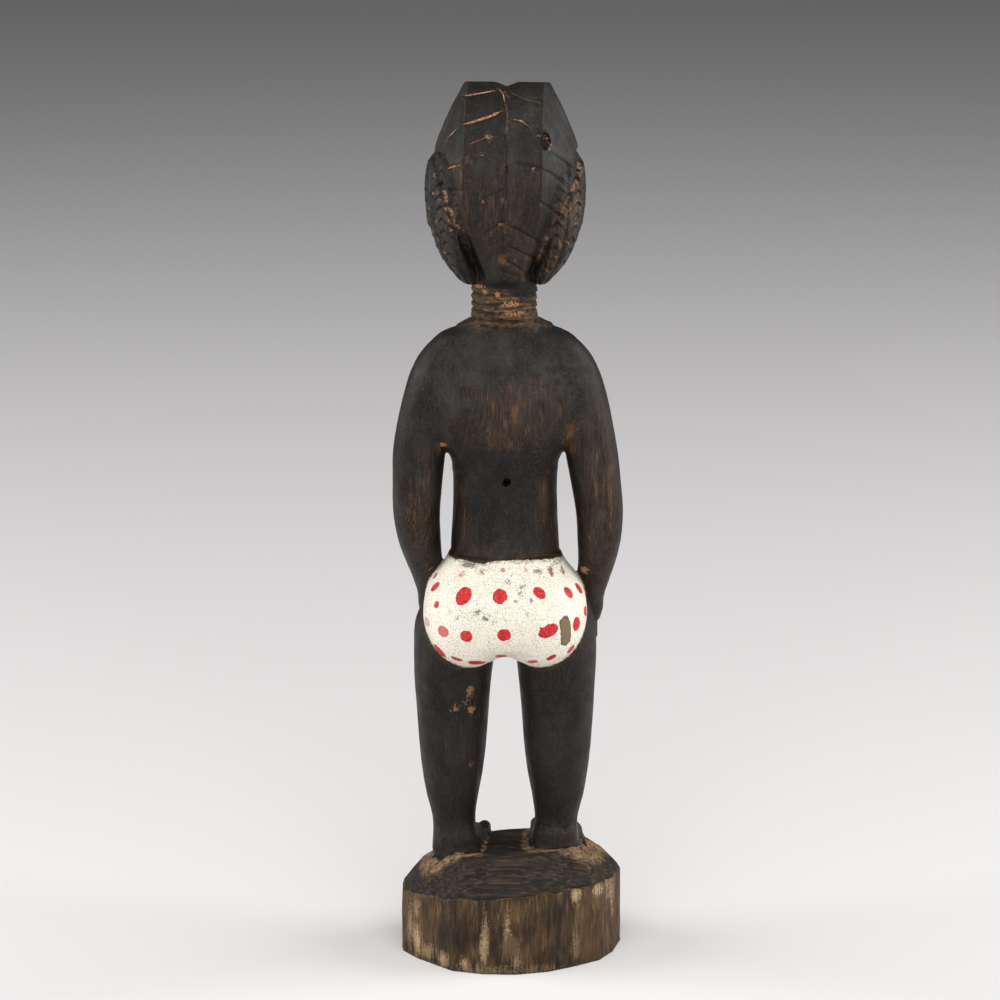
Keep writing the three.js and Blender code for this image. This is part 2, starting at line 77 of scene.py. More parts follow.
HIPS = [
    (141, 17, -17, 17), (144, 25.5, -20, 25.5), (149, 32.5, -22, 31), (156, 36, -23.5, 33.6),
    (164, 36.8, -24.5, 33.3), (171, 35.4, -25, 30.8), (177, 31.6, -25, 26.8), (181, 28.2, -24.6, 23),
    (184, 26.4, -24.2, 19.8), (186, 25.4, -23.6, 17.8),
]
BUTTOCK = {"across": 16, "y": 12.5, "z": 157.5, "size": (20, 21, 22)}

# Each row: height, distance from the midline, half width, front, back
LEG = [
    (47, 22.8, 10.4, -14, 8.5), (53, 22.9, 10.2, -12.5, 9.2), (62, 23.4, 10.1, -11.2, 9.4),
    (72, 24, 11.9, -13, 11.6), (84, 23.9, 14, -15.2, 14.4), (96, 23.8, 15.4, -17.3, 15.5),
    (108, 23.8, 16.3, -19.3, 15.8), (118, 23.8, 17, -19.8, 17.1), (130, 23.6, 17.9, -20.6, 18.8),
    (142, 22.9, 18.8, -21.5, 20), (154, 21.7, 19.3, -22, 19), (164, 20, 17, -21, 14),
]
ARM = [
    (151, 33.4, 6.6, -26.2, -16), (157, 34, 7.4, -26, -12), (163, 34.8, 7, -24.8, -8.2),
    (171, 36.3, 7.6, -22.6, -3), (181, 38.5, 8.7, -19, 3.5), (192, 40.1, 10, -15.4, 8),
    (204, 40.8, 10.8, -12.2, 11), (218, 40, 11.5, -10.2, 12.9), (232, 38.8, 12.1, -10.2, 13.6),
    (247, 36.7, 11.8, -11, 14.3), (260, 33.5, 12.1, -11.8, 14.6), (270, 30.3, 11.9, -11.4, 14),
    (277, 27.5, 11.1, -10.2, 12.9), (283, 24.1, 9.3, -8.2, 11.2), (287.5, 21, 6.5, -5.8, 8.7),
    (290, 19, 2, -2, 5),
]
# How far each arm leans out and back from the armpit down to the wrist, by side
ARM_LEAN = {1: (-1.7, 0), -1: (3.5, 5)}
LEAN_FROM, LEAN_TO = 236, 174
# An arm stands clear of the waist and runs softly into the shoulder between these heights
ARM_BLEND, SHOULDER_BLEND, ARMPIT, SHOULDER = 0.9, 5.1, 224, 262
FINGERS = 4
FINGER = {"radius": 1.9, "first": -6, "spacing": 3.2, "longest": 1.3, "top": 155, "tip": 143.5, "sunk": 0.3}
THUMB = {"radius": 2.1, "start": -3.6, "end": -8.4, "top": 158.5, "tip": 149}

# Each row: y, distance from the midline, half width, sole to top
FOOT = [
    (-25.5, 21, 12.2, 6.6), (-21, 21.2, 12.4, 8), (-14, 21.8, 11.6, 10.8), (-6, 22.4, 10.6, 13.5),
    (2, 22.8, 10.3, 14), (7.5, 22.8, 9.2, 11.5), (9.6, 22.6, 6, 8),
]
HEEL = {"out": 22.7, "half": 9.6, "front": -4, "back": 10.2, "tall": 9.5, "square": 3.4, "sunk": 2}
HEEL_SLOPE, HEEL_BLEND, HEEL_OVER = (0.25, 0.75), 1.6, 3
SOLE_SUNK = 1.2
FOOT_BOX = {"out": 22, "left": 17, "right": 14, "under": 4, "over": 16}  # space that holds a whole foot
FOOT_TURN, FOOT_TURN_FROM = 0.09, 5  # both feet point a little to the figure's right
TOES = 5
TOE = {"length": 6.5, "y": -25, "root": 6, "width": 24.4, "big": 3.3, "small": 1.9}
TOE_LAP, TOE_LIFT, TOE_SHORTER = 0.2, 0.8, 0.35

# The base: bearing in degrees and reach of each corner of its adzed side
BASE_CORNERS = [
    (7, 50.6), (23, 47.3), (55, 47.2), (74, 45.8), (93, 44.8), (113, 43.7), (134, 43.4), (152, 46.3),
    (170, 47.9), (192, 52.3), (216, 54), (240, 51), (268, 48), (298, 50), (325, 52), (346, 52.2),
]
BASE_RIM, RIM_TILT_X, RIM_TILT_Y = 32.7, -0.072, 0.078
BASE_TOP, TOP_TILT_X, TOP_TILT_Y = 48.6, -0.06, 0.04
TOP_SHIFT = -4
RIM_PROFILE = [(0.66, 1), (0.83, 0.6), (1, 0)]  # share of the reach, share of the rise
SLOPE_SHARE = 0.85  # a height over the sloping top counts as so much distance from it
BASE_RADIUS, BASE_BLEND, BASE_BOX = 47, 1.3, ((-56, -56, 0), (56, 50, 54.6))

NECK = {"x": 3.1, "y": 0.2, "from": 284, "to": 322, "radius": 15.3}
# Each row: height of a groove round the neck and its depth
NECK_GROOVES = [
    (290.6, 1), (293.6, 1), (295.6, 0.3), (297.5, 1), (299.6, 0.35), (301.4, 1), (303.2, 0.3), (305.1, 0.9),
    (307.4, 0.5),
]

SKULL = [
    (308.2, 8, -22, 8), (310.6, 12.5, -30.5, 10), (316, 17.2, -33.6, 12), (324, 21.8, -34, 14),
    (334, 25.2, -33.4, 16), (345, 26.8, -33, 18), (356, 26.8, -32.4, 18), (366, 25.4, -30.2, 16),
    (374, 21, -25, 12),
]
# Each row: height, half width at the side corner, its y, back, front, half width at the back corner
CREST = [
    (307, 7, 6, 13, -2, 4), (311.2, 10.2, 10.5, 18.5, -4, 6.5), (319, 14.6, 12.5, 23.4, -8, 9.5),
    (328, 19.3, 13.5, 27.2, -14, 13), (337, 23.5, 13.5, 29.8, -20, 15.5), (346, 27.4, 12, 31, -26, 17.2),
    (356, 30.6, 9, 30.9, -31, 17.8), (369, 33, 4, 28.6, -33.6, 17.8), (382, 28.5, 2, 23.6, -29.4, 17.6),
    (392, 23.8, 0.5, 17.6, -22.5, 17.3), (400, 18.9, -0.5, 6.5, -14, 16.8),
]
CORNER_SETBACK, FRONT_SETBACK, FRONT_NARROWING = 1.8, 3, 0.9
CREST_TURN, CREST_SHIFT = -0.085, -0.9
CREST_DROP, CREST_TOP, CREST_TOP_BACK = 0.13, 400, 6.5
NOTCH_HALF, NOTCH_DEPTH = 5.4, 2.2
PARTING_HALF, PARTING_DEPTH = 3, 1.4
# How soft the crest's edges are: beside its back, beside its front, at its front face and at its top
REAR_BLEND, FLANK_BLEND, FACE_BLEND, CREST_TOP_BLEND = 0.9, 2.0, 1.2, 0.35
# Each row: height, distance of its centre, half width, front, back
SIDE_LOCK = [
    (309, 15, 3.8, -1.5, 9.5), (311.6, 16, 5.4, -4.6, 13.3), (316.6, 17.6, 8.2, -8.8, 18),
    (323, 19.2, 10.6, -12.2, 21.2), (331, 20.2, 12.8, -15.5, 23.6), (341, 20.8, 14.9, -17.5, 24.4),
    (350, 20.9, 15.6, -18, 23.6), (358, 20.6, 15.6, -17, 21.4), (364, 20, 15, -15, 18.6),
    (368.5, 18.5, 13.5, -12.5, 15),
]
# The rows of braids round a side lock, and the nicks that cross them
BRAIDS, NICK_RISE, NICK_SLANT, NICK_STAGGER, NICK_DEPTH = 9, 5.2, 0.8, 0.37, 1.15
FACE_HALF, ARCH_TOP, ARCH_FROM, FACE_BACK = 22.5, 366.5, 343, -8

BROW = [(2.6, 349.5), (6.5, 353), (10.5, 354.5), (15, 353.4), (19.5, 350)]
BROW_PROUD, BROW_RADIUS, BROW_PIECES = 0.2, 1.5, 4
EYE = {"across": 10.8, "y": -31.4, "z": 344, "size": (6.6, 3.4, 3.3)}
EYE_SLIT = {"half": 5.2, "below": 0.4, "sunk": 0.4, "proud": 0.2, "radius": 0.55}
NOSE = [
    (329.6, 4, -33, -28), (331.5, 5, -37.6, -28), (333.6, 4.8, -39.4, -28), (338, 3, -38, -28),
    (345, 2.3, -35.8, -28), (352, 2.6, -33.8, -28),
]
NOSTRIL = {"across": 2.4, "y": -36.6, "z": 330.6, "size": (1.1, 1.4, 1.0)}
LIPS = {"y": -32.8, "upper": 325, "lower": 321.8, "lower_share": 0.85, "size": (6.6, 3, 1.55)}
EAR = {"across": 31.6, "y": -10, "z": 340, "size": (4.6, 5.6, 9)}
EAR_HOLLOW = {"across": 36.4, "y": -11.2, "z": 340, "size": (3.2, 3.4, 6)}
NAVEL = {"y": -22.6, "z": 199, "size": (2.2, 2.2, 2.2)}
BREAST = {"across": 11.5, "y": -15.5, "z": 252, "size": (11, 7.5, 9.5)}
# Holes: the pit's place and size, then rows of start, end, radius at both and how soft the edge is
PIT = ((-15.4, 25, 376), (2.7, 5.5, 3.9))
PIT_HOOKS = [
    ((-9.6, 27, 379.3), (-14.2, 26.8, 379.6), 0.9, 1.5, 0.3),
    ((-16.6, 26.2, 376), (-17.1, 26, 371.8), 1.6, 1.1, 0.4),
]
WORM_HOLE = [
    ((1.9, 9.5, 220.8), (1.9, 20, 221.1), 1.45, 1.45, 0.4),
    ((2.3, 13.5, 219.8), (3.5, 16, 219.8), 0.8, 1.3, 0.5),
]
# The even cuts on the front of the hairdress
FRONT_CUTS = {"heights": (391, 382, 373), "from": 1.5, "to": 15, "drop": 6, "half": 0.9, "depth": 0.6}

# Knife cuts over the back of the hairdress: points (x, height), half width, depth, how pale the wood shows
HAIR_CUTS = [
    ([(21.5, 393.9), (7.2, 396.4)], 0.75, 0.55, 0.75),
    ([(21.1, 382.5), (11.4, 385.4), (4.6, 388.2)], 1.15, 1, 1),
    ([(18.9, 374.2), (14, 376.2), (10.8, 377.5), (6.2, 377.9)], 0.9, 0.6, 0.32),
    ([(17.9, 368), (12.1, 369)], 0.8, 0.4, 0.1),
    ([(27.9, 375.5), (24.1, 379.9)], 0.75, 0.5, 0.6),
    ([(28, 362.6), (22.4, 365.2)], 1, 0.7, 0.95),
    ([(30.3, 353.2), (21.1, 354.1)], 0.7, 0.5, 0.15),
    ([(1.1, 396.1), (-5.4, 393.4), (-13.9, 391.3)], 0.65, 0.35, 0.3),
    ([(-0.9, 385), (-4.4, 384.4), (-7.4, 382.3)], 0.95, 0.65, 1),
    ([(-2.8, 376.7), (-8, 374.8)], 0.75, 0.4, 0.2),
    ([(-3, 366.4), (-12.5, 364.5), (-17.7, 361.4), (-25.3, 354)], 0.8, 0.5, 0),
    ([(-17.7, 370.4), (-22.3, 366.5), (-27.6, 362.2)], 0.75, 0.55, 0),
    ([(-12.5, 349.4), (-16.5, 346.7), (-21, 342.5), (-23.7, 339.6)], 0.85, 0.6, 0),
    ([(-9.4, 379), (-12, 378.8), (-15, 379.8)], 1.3, 0.6, 0),
    ([(2.4, 339.4), (-2.8, 337.4), (-8.7, 333.7), (-14.6, 329.1)], 1, 0.7, 0.15),
    ([(1, 329.9), (-4.2, 327), (-9.4, 323.8), (-13, 320.6)], 1, 0.7, 0.05),
    ([(3.6, 323.5), (-1.6, 320.6), (-6.8, 315.9)], 1, 0.7, 0.05),
    ([(3.6, 317.8), (-2.9, 315.1)], 0.9, 0.6, 0),
    ([(3.2, 341), (9, 337.5), (14.5, 332)], 0.8, 0.35, 0.05),
    ([(3.2, 355), (10, 352.5), (17, 347)], 0.8, 0.3, 0.05),
    ([(5.4, 396.9), (3.8, 395.4), (2.9, 392)], 1, 0.5, 0.7),
    ([(2.9, 392), (1.8, 387.7), (1.8, 381.6), (2.9, 378.4)], 1.1, 0.6, 0.3),
    ([(2.9, 378.4), (2.1, 371), (2.5, 362), (2.2, 350)], 0.9, 0.35, 0),
    ([(22.9, 392.4), (22.3, 381), (21.6, 368.8), (20.8, 356.1), (20.2, 343)], 0.7, 0.15, 0),
    ([(-13.7, 393.7), (-13.2, 380.4), (-12.5, 369.2), (-13, 356.5), (-12.5, 350)], 0.7, 0.15, 0),
    ([(2.4, 364.8), (2.5, 361.9)], 0.6, 1.1, 0),
]
# Creases and nicks on the body, as above
BODY_CUTS = [
    ([(-10.5, 113.4), (-20, 114.6), (-32.5, 115.2)], 0.9, 0.35, 0),
    ([(11, 116.8), (22, 115.2), (36, 116)], 0.7, 0.2, 0.05),
    ([(-12, 60.5), (-22, 59.2), (-31, 60.2)], 0.8, 0.3, 0.1),
]
LINE_SHARE = 0.45  # a line's half width over the square of its cut's half width
KNOT = (2, 239)  # x and height of the knot that the grain of the back spreads round
# The lines where the crest meets the side locks, and the deep grooves there
LOCK_EDGES = [
    [
        (34.3, 366.6), (32.9, 360.9), (29.6, 352), (26.4, 342.4),
        (23.1, 335.9), (21.2, 329.2), (18, 322.1), (13.5, 313),
    ],
    [(-30, 369.1), (-30.3, 363.5), (-26.3, 351.7), (-19.7, 339.2), (-14.6, 325.7), (-8.1, 314.8)],
]
LOCK_GROOVES = [
    ([(20.5, 331), (17.5, 322), (13.5, 312)], 3.4, 2, 0),
    ([(-15.5, 328), (-12, 319), (-8.5, 312)], 3, 1.7, 0),
    (LOCK_EDGES[0], 1.8, 1.5, 0),
    (LOCK_EDGES[1], 1.8, 1.5, 0),
]
# Pale worn edges beside those grooves: points, half width, how pale
WORN_EDGES = [
    ([(29.6, 352.6), (28.7, 348.8)], 0.8, 0.7),
    ([(29.3, 345.2), (27, 344.9), (25.1, 339.8)], 0.9, 0.9),
    ([(28, 340.4), (23.1, 337.3)], 0.8, 0.5),
    ([(-29.9, 363.1), (-30.6, 359.6)], 0.9, 0.8),
    ([(-28.6, 356.2), (-26.9, 352.9)], 0.8, 0.6),
    ([(-25.3, 349.9), (-21, 341.2)], 0.7, 0.3),
    ([(-15.9, 332.5), (-12, 322.1)], 0.9, 0.25),
    ([(10.8, 378.1), (9.6, 377.4)], 1, 0.6),
]

# Paint: a dot's bearing round the hips in degrees, height, half width, half height, tilt, strength
DOTS = [
    (53, 171.6, 3.3, 3.9, -20, 1), (85, 171.8, 3.4, 3.3, 0, 1), (122, 173.1, 2.5, 2.5, 0, 0.85),
    (147, 171.9, 2.4, 2.4, 20, 0.85), (164, 171.8, 2.9, 2.3, 20, 0.85), (21, 173.1, 2.8, 2, -25, 0.85),
    (33, 166.7, 1.9, 1.6, 0, 0.8), (23, 157.6, 3.6, 2.2, 0, 0.4), (42, 155.5, 3.1, 2.6, 0, 0.62),
    (59, 154.3, 2.5, 2.8, 0, 0.9), (89, 154.8, 3.2, 3.1, -10, 0.88), (124, 156.6, 4.6, 2.9, -30, 1),
    (147, 158, 2.8, 3.3, 0, 1), (163, 161.7, 3.2, 2.4, 0, 0.8), (148, 145.8, 2.3, 2.2, -30, 0.75),
    (30, 144.7, 3.7, 2.9, 30, 0.8), (87, 182.1, 1.7, 1.1, 0, 0.5), (118, 182, 1.6, 1.2, 0, 0.32),
    (39, 179.7, 1.9, 1.2, 0, 0.2), (59, 180.8, 2, 0.7, 20, 0.4), (145, 180.5, 1.3, 1.4, 0, 0.4),
    (159, 179.6, 1.4, 1, 0, 0.45), (5, 176.2, 2.6, 1.4, 0, 0.7), (117, 158.8, 0.45, 0.45, 0, 0.8),
    (45, 142.1, 2.5, 1.3, 10, 0.75), (57, 140, 2.6, 1.4, 0, 0.92), (84, 142.2, 2.6, 1.6, 0, 0.92),
    (121, 140.6, 1.7, 1.1, -10, 0.7), (132, 143.1, 2, 1.5, -30, 0.85),
    # the hidden front carries plainer rows of the same dots
    (4, 160, 3, 2.6, 0, 0.85), (182, 168, 2.8, 2.6, 0, 0.85), (184, 152, 2.6, 2.4, 0, 0.8),
    (232, 174, 3, 2.8, 0, 0.85), (255, 175, 2.8, 2.9, 0, 0.8), (280, 174, 3.1, 2.8, 0, 0.9),
    (304, 175, 2.8, 2.7, 0, 0.8), (240, 161, 2.9, 2.8, 0, 0.9), (266, 160, 3.1, 2.9, 0, 0.85),
    (292, 161, 2.8, 2.8, 0, 0.9), (252, 148.5, 2.6, 2.2, 0, 0.8), (284, 148, 2.6, 2.2, 0, 0.8),
]
DOT_AXIS = (2.7, 4.0)
BARE_PATCH = (137, 155.7, 2.9, 7.0, -8, 1.0)
# Where the paint ends at the waist: x and height across the back, and one height across the front
PAINT_TOP = [
    (-30, 182), (-25, 184), (-21, 185), (-15, 185.5), (-4, 185.8), (8, 185.5), (12, 184.4), (16, 184.3),
    (20, 185), (30, 185),
]
PAINT_TOP_FRONT = 185
PAINT_FOOT = 136

# Marks seen from behind, each: x, height, half width, half height, tilt in degrees, how strong
# Brown wood that shows through the black stain
BROWN = [
    (2, 252, 17, 16, 0, 1), (5, 240, 9, 5, 0, 0.9), (1.8, 265, 6, 6, 0, 0.5), (-14, 258, 13, 15, 0, 0.55),
    (22, 254, 8, 18, 0, 0.35), (31.5, 236, 4, 4, 0, 1), (-27, 241, 5, 9, 0, 1), (-39, 212, 11, 46, 0, 0.7),
    (40, 208, 9, 44, 0, 0.55), (-15.5, 213, 4.5, 16, 8, 0.85), (-20, 200, 4, 22, 0, 0.7),
    (22, 205, 4, 18, 0, 0.6), (12, 188.5, 14, 2.5, 0, 0.6), (-8, 188, 16, 2.5, 0, 0.7),
    (3, 344, 15, 24, 0, 0.55), (21, 346, 5, 14, 0, 0.65), (-4, 322, 13, 12, 0, 0.7),
    (22, 364, 6, 8, 0, 0.6), (-23, 338, 7, 26, 20, 0.75), (30, 330, 6, 18, -20, 0.4),
    (-12, 358, 5, 10, 0, 0.3), (15, 291, 7, 3, 0, 0.8), (-10, 291, 9, 3, 0, 0.8), (-22, 58, 9, 3, 0, 0.5),
    (22, 97, 9, 26, 0, 0.3), (46, 17, 11, 20, 0, 0.9), (-42, 17, 14, 20, 0, 0.7),
]
# Where raised edges are painted pale: worn wood, and along the base's rim a painted highlight as well
PALE_EDGES = [
    (-28, 345, 6, 24, 12, 0.35), (30, 345, 5, 16, 0, 0.45), (3, 300, 16, 9, 0, 0.9),
    # the row at height 30 paints a highlight along the base's rim, as well as its wear
    (0, 30, 60, 14, 0, 0.55), (-40, 210, 8, 30, 0, 0.25),
]
# Where the black is painted grey: dust, and a painted sheen on the shoulders, the upper back and one side of
# the hairdress
GREYED = [
    (23, 266, 12, 15, 0, 0.75), (-21, 266, 15, 14, 0, 0.9), (-34, 250, 6, 20, 0, 0.5),
    (-21, 374, 6, 18, 0, 0.5),
]
# Places painted near black: painted shade in the grooves beside the side locks, under the hairdress and between
# the arms and the body, and darker patches elsewhere on the head, back and legs
NEAR_BLACK = [
    (2, 374, 6, 4, 0, 0.3), (19, 322, 4.5, 11, 22, 1), (-12, 319, 4, 8, -24, 0.9),
    (-8, 306.5, 8, 3.4, 0, 1), (2, 310, 14, 2, 0, 0.9), (9, 388, 9, 9, 0, 0.5), (-5, 372, 5, 10, 0, 0.5),
    (32, 212, 4, 24, 0, 0.8), (-31, 214, 4, 24, 0, 0.8), (5, 214, 12, 20, 0, 0.45),
    (-22, 96, 16, 48, 0, 0.5), (27, 96, 16, 48, 0, 0.5),
]
# Chips that show orange wood
CHIPS = [
    (18.4, 125.2, 1.7, 2.3, 0, 0.55), (25.6, 117.4, 2.1, 1.8, 0, 0.6), (17.9, 115.8, 2, 1.8, 0, 0.6),
    (21.2, 119.6, 1.6, 1.1, 0, 0.25), (17.5, 89.6, 1.2, 1.6, 0, 0.4), (6, 306, 1.5, 1.4, 0, 1),
    (11.8, 306.7, 1.1, 1, 0, 0.8), (0, 301.6, 3.4, 1.1, 0, 0.9), (-1, 297.4, 4.5, 1, 0, 0.9),
    (15, 308.6, 2.4, 0.8, 0, 0.8), (-33, 178.2, 2, 1.5, 0, 0.9), (36.2, 178, 1, 1, 0, 0.9),
    (30.4, 237.2, 1.8, 1.2, 0, 0.9), (-0.5, 208.4, 0.5, 0.5, 0, 0.8), (-3.8, 233.9, 0.6, 0.6, 0, 0.9),
    (3.6, 350, 0.7, 0.7, 0, 1), (4.6, 339.2, 0.9, 0.7, 0, 1), (12.5, 350, 0.5, 0.5, 0, 0.8),
    (12.8, 370, 0.7, 0.7, 0, 0.8), (8, 369.5, 0.6, 0.6, 0, 0.8), (-9.5, 364, 0.6, 0.6, 0, 0.8),
    (4, 323, 2, 2.4, 0, 0.22), (-15.4, 376.4, 1.3, 0.8, 0, 0.55), (-16.9, 373, 0.6, 1.5, 0, 0.6),
    (-12.2, 377.9, 2.2, 0.4, 8, 0.4),
]
# Small flecks of bare wood on the side locks, each as x and height
FLECKS = [
    (-30.3, 361.7), (-28.9, 357.1), (-27.3, 352.2), (-29.6, 348.1), (-26.3, 344.6), (-30.9, 344.3),
    (-28.9, 338.2), (-25, 329.9), (-21.7, 329), (-19.5, 323.7), (-15.9, 317.4), (34.3, 359.4),
    (34.2, 351.3), (36.9, 344.2), (32.9, 339.1), (35.7, 333.9), (27, 335.8), (32.4, 330.1), (29.7, 324.9),
]
for n, (x, z) in enumerate(FLECKS):
    CHIPS.append((x, z, 0.65 + 0.08 * (n % 4), 0.4, 20 + 25 * (n % 3), 0.75 - 0.15 * (n % 3)))
# Bare buff wood on the side of the base
BUFF = [
    (-29.5, 33.6, 2.2, 3.6, 0, 1), (-39.6, 33.4, 2.6, 2.8, 0, 1), (-46, 30, 0.9, 6, 0, 0.9),
    (-44, 31, 0.7, 4, 0, 0.8), (42.8, 9, 1.8, 6.5, -3, 1), (46.1, 14, 0.8, 6, 0, 0.8),
    (43, 23.3, 0.8, 3.4, 0, 0.8), (37, 5.2, 4.6, 3.4, 0, 0.5), (31, 4, 2.2, 3.4, 0, 0.8),
    (21.4, 4, 1.6, 2.6, 0, 0.9), (12, 14.4, 1.9, 9, 4, 0.85), (1.7, 22.2, 0.9, 4.2, 0, 0.9),
    (11.8, 25, 0.6, 3, 0, 0.6), (-2.7, 6.5, 1.4, 3.4, 0, 0.6), (0, 13, 4, 6, 0, 0.2),
    (-29.6, 9.5, 1, 6, 0, 0.5), (-29.6, 20, 0.6, 6, 0, 0.25), (10, 2, 14, 2, 0, 0.4),
    (-12, 2, 10, 1.4, 0, 0.3),
]
# Grey dirt and scuffs on the paint
GRIME = [
    (-18, 180.7, 0.9, 2.4, -10, 0.8), (-23.2, 179.9, 0.7, 2.2, -20, 0.6), (-20.6, 183.4, 3.2, 0.8, 0, 0.5),
    (-11.7, 181.4, 3.2, 1, 15, 0.6), (-4.2, 184.6, 6, 0.8, 0, 0.4), (13.5, 181, 4.4, 0.7, -24, 0.55),
    (22.5, 179.2, 1.6, 1.4, 0, 0.3), (19, 183.4, 5, 1.2, 0, 0.7), (15.2, 165, 2.4, 0.7, -20, 1),
    (11.6, 163, 2.2, 1, -38, 0.9), (8.1, 160.6, 2.6, 1.6, 0, 0.3), (-4.6, 174.8, 1.8, 3.6, 18, 0.55),
    (-8.8, 170, 1, 1.6, 0, 0.6), (-2, 170, 2.2, 0.8, 20, 0.55), (0.8, 178, 1.2, 2.2, 25, 0.5),
    (-6.8, 164.6, 0.6, 1, 0, 0.8), (-4.2, 158.6, 0.8, 0.9, 0, 0.8), (24.2, 162.4, 0.7, 2.4, 15, 0.5),
    (27.5, 165.6, 0.8, 4, 0, 0.3),
]

# Marks of the tools, each as its size in millimetres and a seed
ADZE, KNIFE = ((13, 13, 26), 5), ((7, 7, 13), 8)
SCOOP_STEEP, SCOOP_RIDGE = 1.4, -0.6
LOG_GRAIN, FINE_LOG_GRAIN = ((1.5, 1.5, 14), 3), ((0.8, 0.8, 8), 4)
GOUGES, FINE_GOUGES = ((14, 3, 4), 6), ((9, 1.6, 2.4), 7)
WAVES, FINE_MARKS = (16, 9), ((1.2, 1.2, 4), 10)
HEAD_MARKS, NECK_MARKS = ((4, 4, 6), 11), ((2.2, 2.2, 1.6), 12)
GRAIN_SWAY = ((26, 26, 60), 21)
# The grain sways that far, slants by so much of y, and spreads round the knot over that height and reach
SWAY, SLANT, KNOT_SPREAD, KNOT_TALL, KNOT_REACH = 1.6, 0.5, 0.65, 7, (14, 26)
# Where marks start or end by height, and how far out from the neck's axis its own colour ends
BASE_END, HEAD_START, CROWN_SMOOTH = 55, (308, 314), (394, 398)
NECK_START, NECK_END = (288, 290), (309, 311)
NECK_COLOUR_START, NECK_COLOUR_END, NECK_COLOUR_OUT = (289.5, 290.5), (308.5, 310), (15.8, 17)
# What lies behind, by y; what faces up, by its normal; and the strip between the feet, by its half width
BEHIND, TOP_LEVEL, BETWEEN_FEET = (2, 6), (0.3, 0.62), (5, 12)


def curves(table, keys):
    """The table's other columns at each key, on smooth curves through its rows."""
    table = np.asarray(table, float)
    places, rows = table[:, 0], table[:, 1:]
    slopes = np.gradient(rows, places, axis=0)
    spot = np.clip(np.searchsorted(places, keys) - 1, 0, len(places) - 2)
    step = (places[spot + 1] - places[spot])[..., None]
    s = np.clip((keys - places[spot])[..., None] / step, 0, 1)
    start = (2 * s**3 - 3 * s**2 + 1) * rows[spot] + (s**3 - 2 * s**2 + s) * step * slopes[spot]
    end = (3 * s**2 - 2 * s**3) * rows[spot + 1] + (s**3 - s**2) * step * slopes[spot + 1]
    return np.moveaxis(start + end, -1, 0)


def smooth_min(a, b, blend):
    """The lesser of two, rounded where they are closer than blend."""
    near = np.maximum(blend - np.abs(a - b), 0)
    return np.minimum(a, b) - near * near / (4 * blend)


def smooth_max(a, b, blend):
    return -smooth_min(-a, -b, blend)


def soft_step(value, low, high):
    """Rises smoothly from 0 at low to 1 at high."""
    share = np.clip((value - low) / (high - low), 0, 1)
    return share * share * (3 - 2 * share)


def noise(points, size, seed):
    """Smooth random values from -1 to 1 that change over about the given size, which may differ by axis."""
    lattice = np.random.default_rng(seed).uniform(-1, 1, (32, 32, 32))
    spot = points / np.asarray(size, float)
    cell = np.floor(spot).astype(int)
    share = spot - cell
    share = share * share * (3 - 2 * share)
    total = np.zeros(len(points))
    for corner in itertools.product((0, 1), repeat=3):
        weight = np.prod(np.where(np.array(corner), share, 1 - share), axis=1)
        total += weight * lattice[tuple(((cell + corner) % 32).T)]
    return total


def scoops(points, size, seed):
    """Shallow hollows side by side, as a gouge leaves them: 1 at the middle of each, less at the ridges."""
    jitter = np.random.default_rng(seed).uniform(0, 1, (16, 16, 16, 3))
    spot = points / np.asarray(size, float)
    cell = np.floor(spot).astype(int)
    nearest = np.full(len(points), FAR)
    for corner in itertools.product((-1, 0, 1), repeat=3):
        beside = cell + corner
        gap = beside + jitter[tuple((beside % 16).T)] - spot
        nearest = np.minimum(nearest, (gap * gap).sum(axis=1))
    return np.maximum(1 - nearest * SCOOP_STEEP, SCOOP_RIDGE)


def oval_gap(across, along, half, deep, power=2.0):
    """About how far a place lies outside an oval with those half sizes, squarer for powers over 2."""
    u, v = np.abs(across) / half, np.abs(along) / deep
    gauge = (u**power + v**power + TINY) ** (1 / power)
    steep = np.sqrt((u ** (power - 1) / half) ** 2 + (v ** (power - 1) / deep) ** 2 + TINY**2)
    return (gauge - 1) * gauge ** (power - 1) / steep


def upright(table, side=0, power=2.0, reshape=None):
    """A form whose level sections are ovals, from a table by height; side 0 stands on the midline."""
    rows = np.array(table, float)
    if not side:
        rows = np.insert(rows, 1, 0, axis=1)

    def gap(x, y, z):
        out, half, front, back = curves(rows, z)
        across, along = x - MIDLINE - side * out, y - (front + back) / 2
        deep = (back - front) / 2
        distance = oval_gap(across, along, half, deep, power)
        if reshape:
            distance = distance + reshape(across / half, along / deep, z)
        return np.maximum(distance, np.maximum(rows[0, 0] - z, z - rows[-1, 0]))

    reach = rows[:, 2].max()
    middle = MIDLINE + side * rows[:, 1]
    low = (middle.min() - reach, rows[:, 3].min(), rows[0, 0])
    high = (middle.max() + reach, rows[:, 4].max(), rows[-1, 0])
    return gap, low, high


def ellipsoid(x0, y0, z0, size):
    half, deep, tall = size

    def gap(x, y, z):
        u, v, w = (x - x0) / half, (y - y0) / deep, (z - z0) / tall
        near = np.sqrt(u * u + v * v + w * w + TINY)
        steep = np.sqrt((u / half) ** 2 + (v / deep) ** 2 + (w / tall) ** 2 + TINY)
        return near * (near - 1) / steep

    return gap, (x0 - half, y0 - deep, z0 - tall), (x0 + half, y0 + deep, z0 + tall)


def bar(start, end, radius, end_radius=None):
    """A round bar from point to point with round ends."""
    start, end = np.array(start, float), np.array(end, float)
    along = end - start
    taper = (radius if end_radius is None else end_radius) - radius

    def gap(x, y, z):
        away = [place - first for place, first in zip((x, y, z), start)]
        share = np.clip(sum(a * b for a, b in zip(away, along)) / (along @ along), 0, 1)
        off = sum((a - share * b) ** 2 for a, b in zip(away, along))
        return np.sqrt(off) - radius - taper * share

    most = radius + max(taper, 0)
    return gap, np.minimum(start, end) - most, np.maximum(start, end) + most


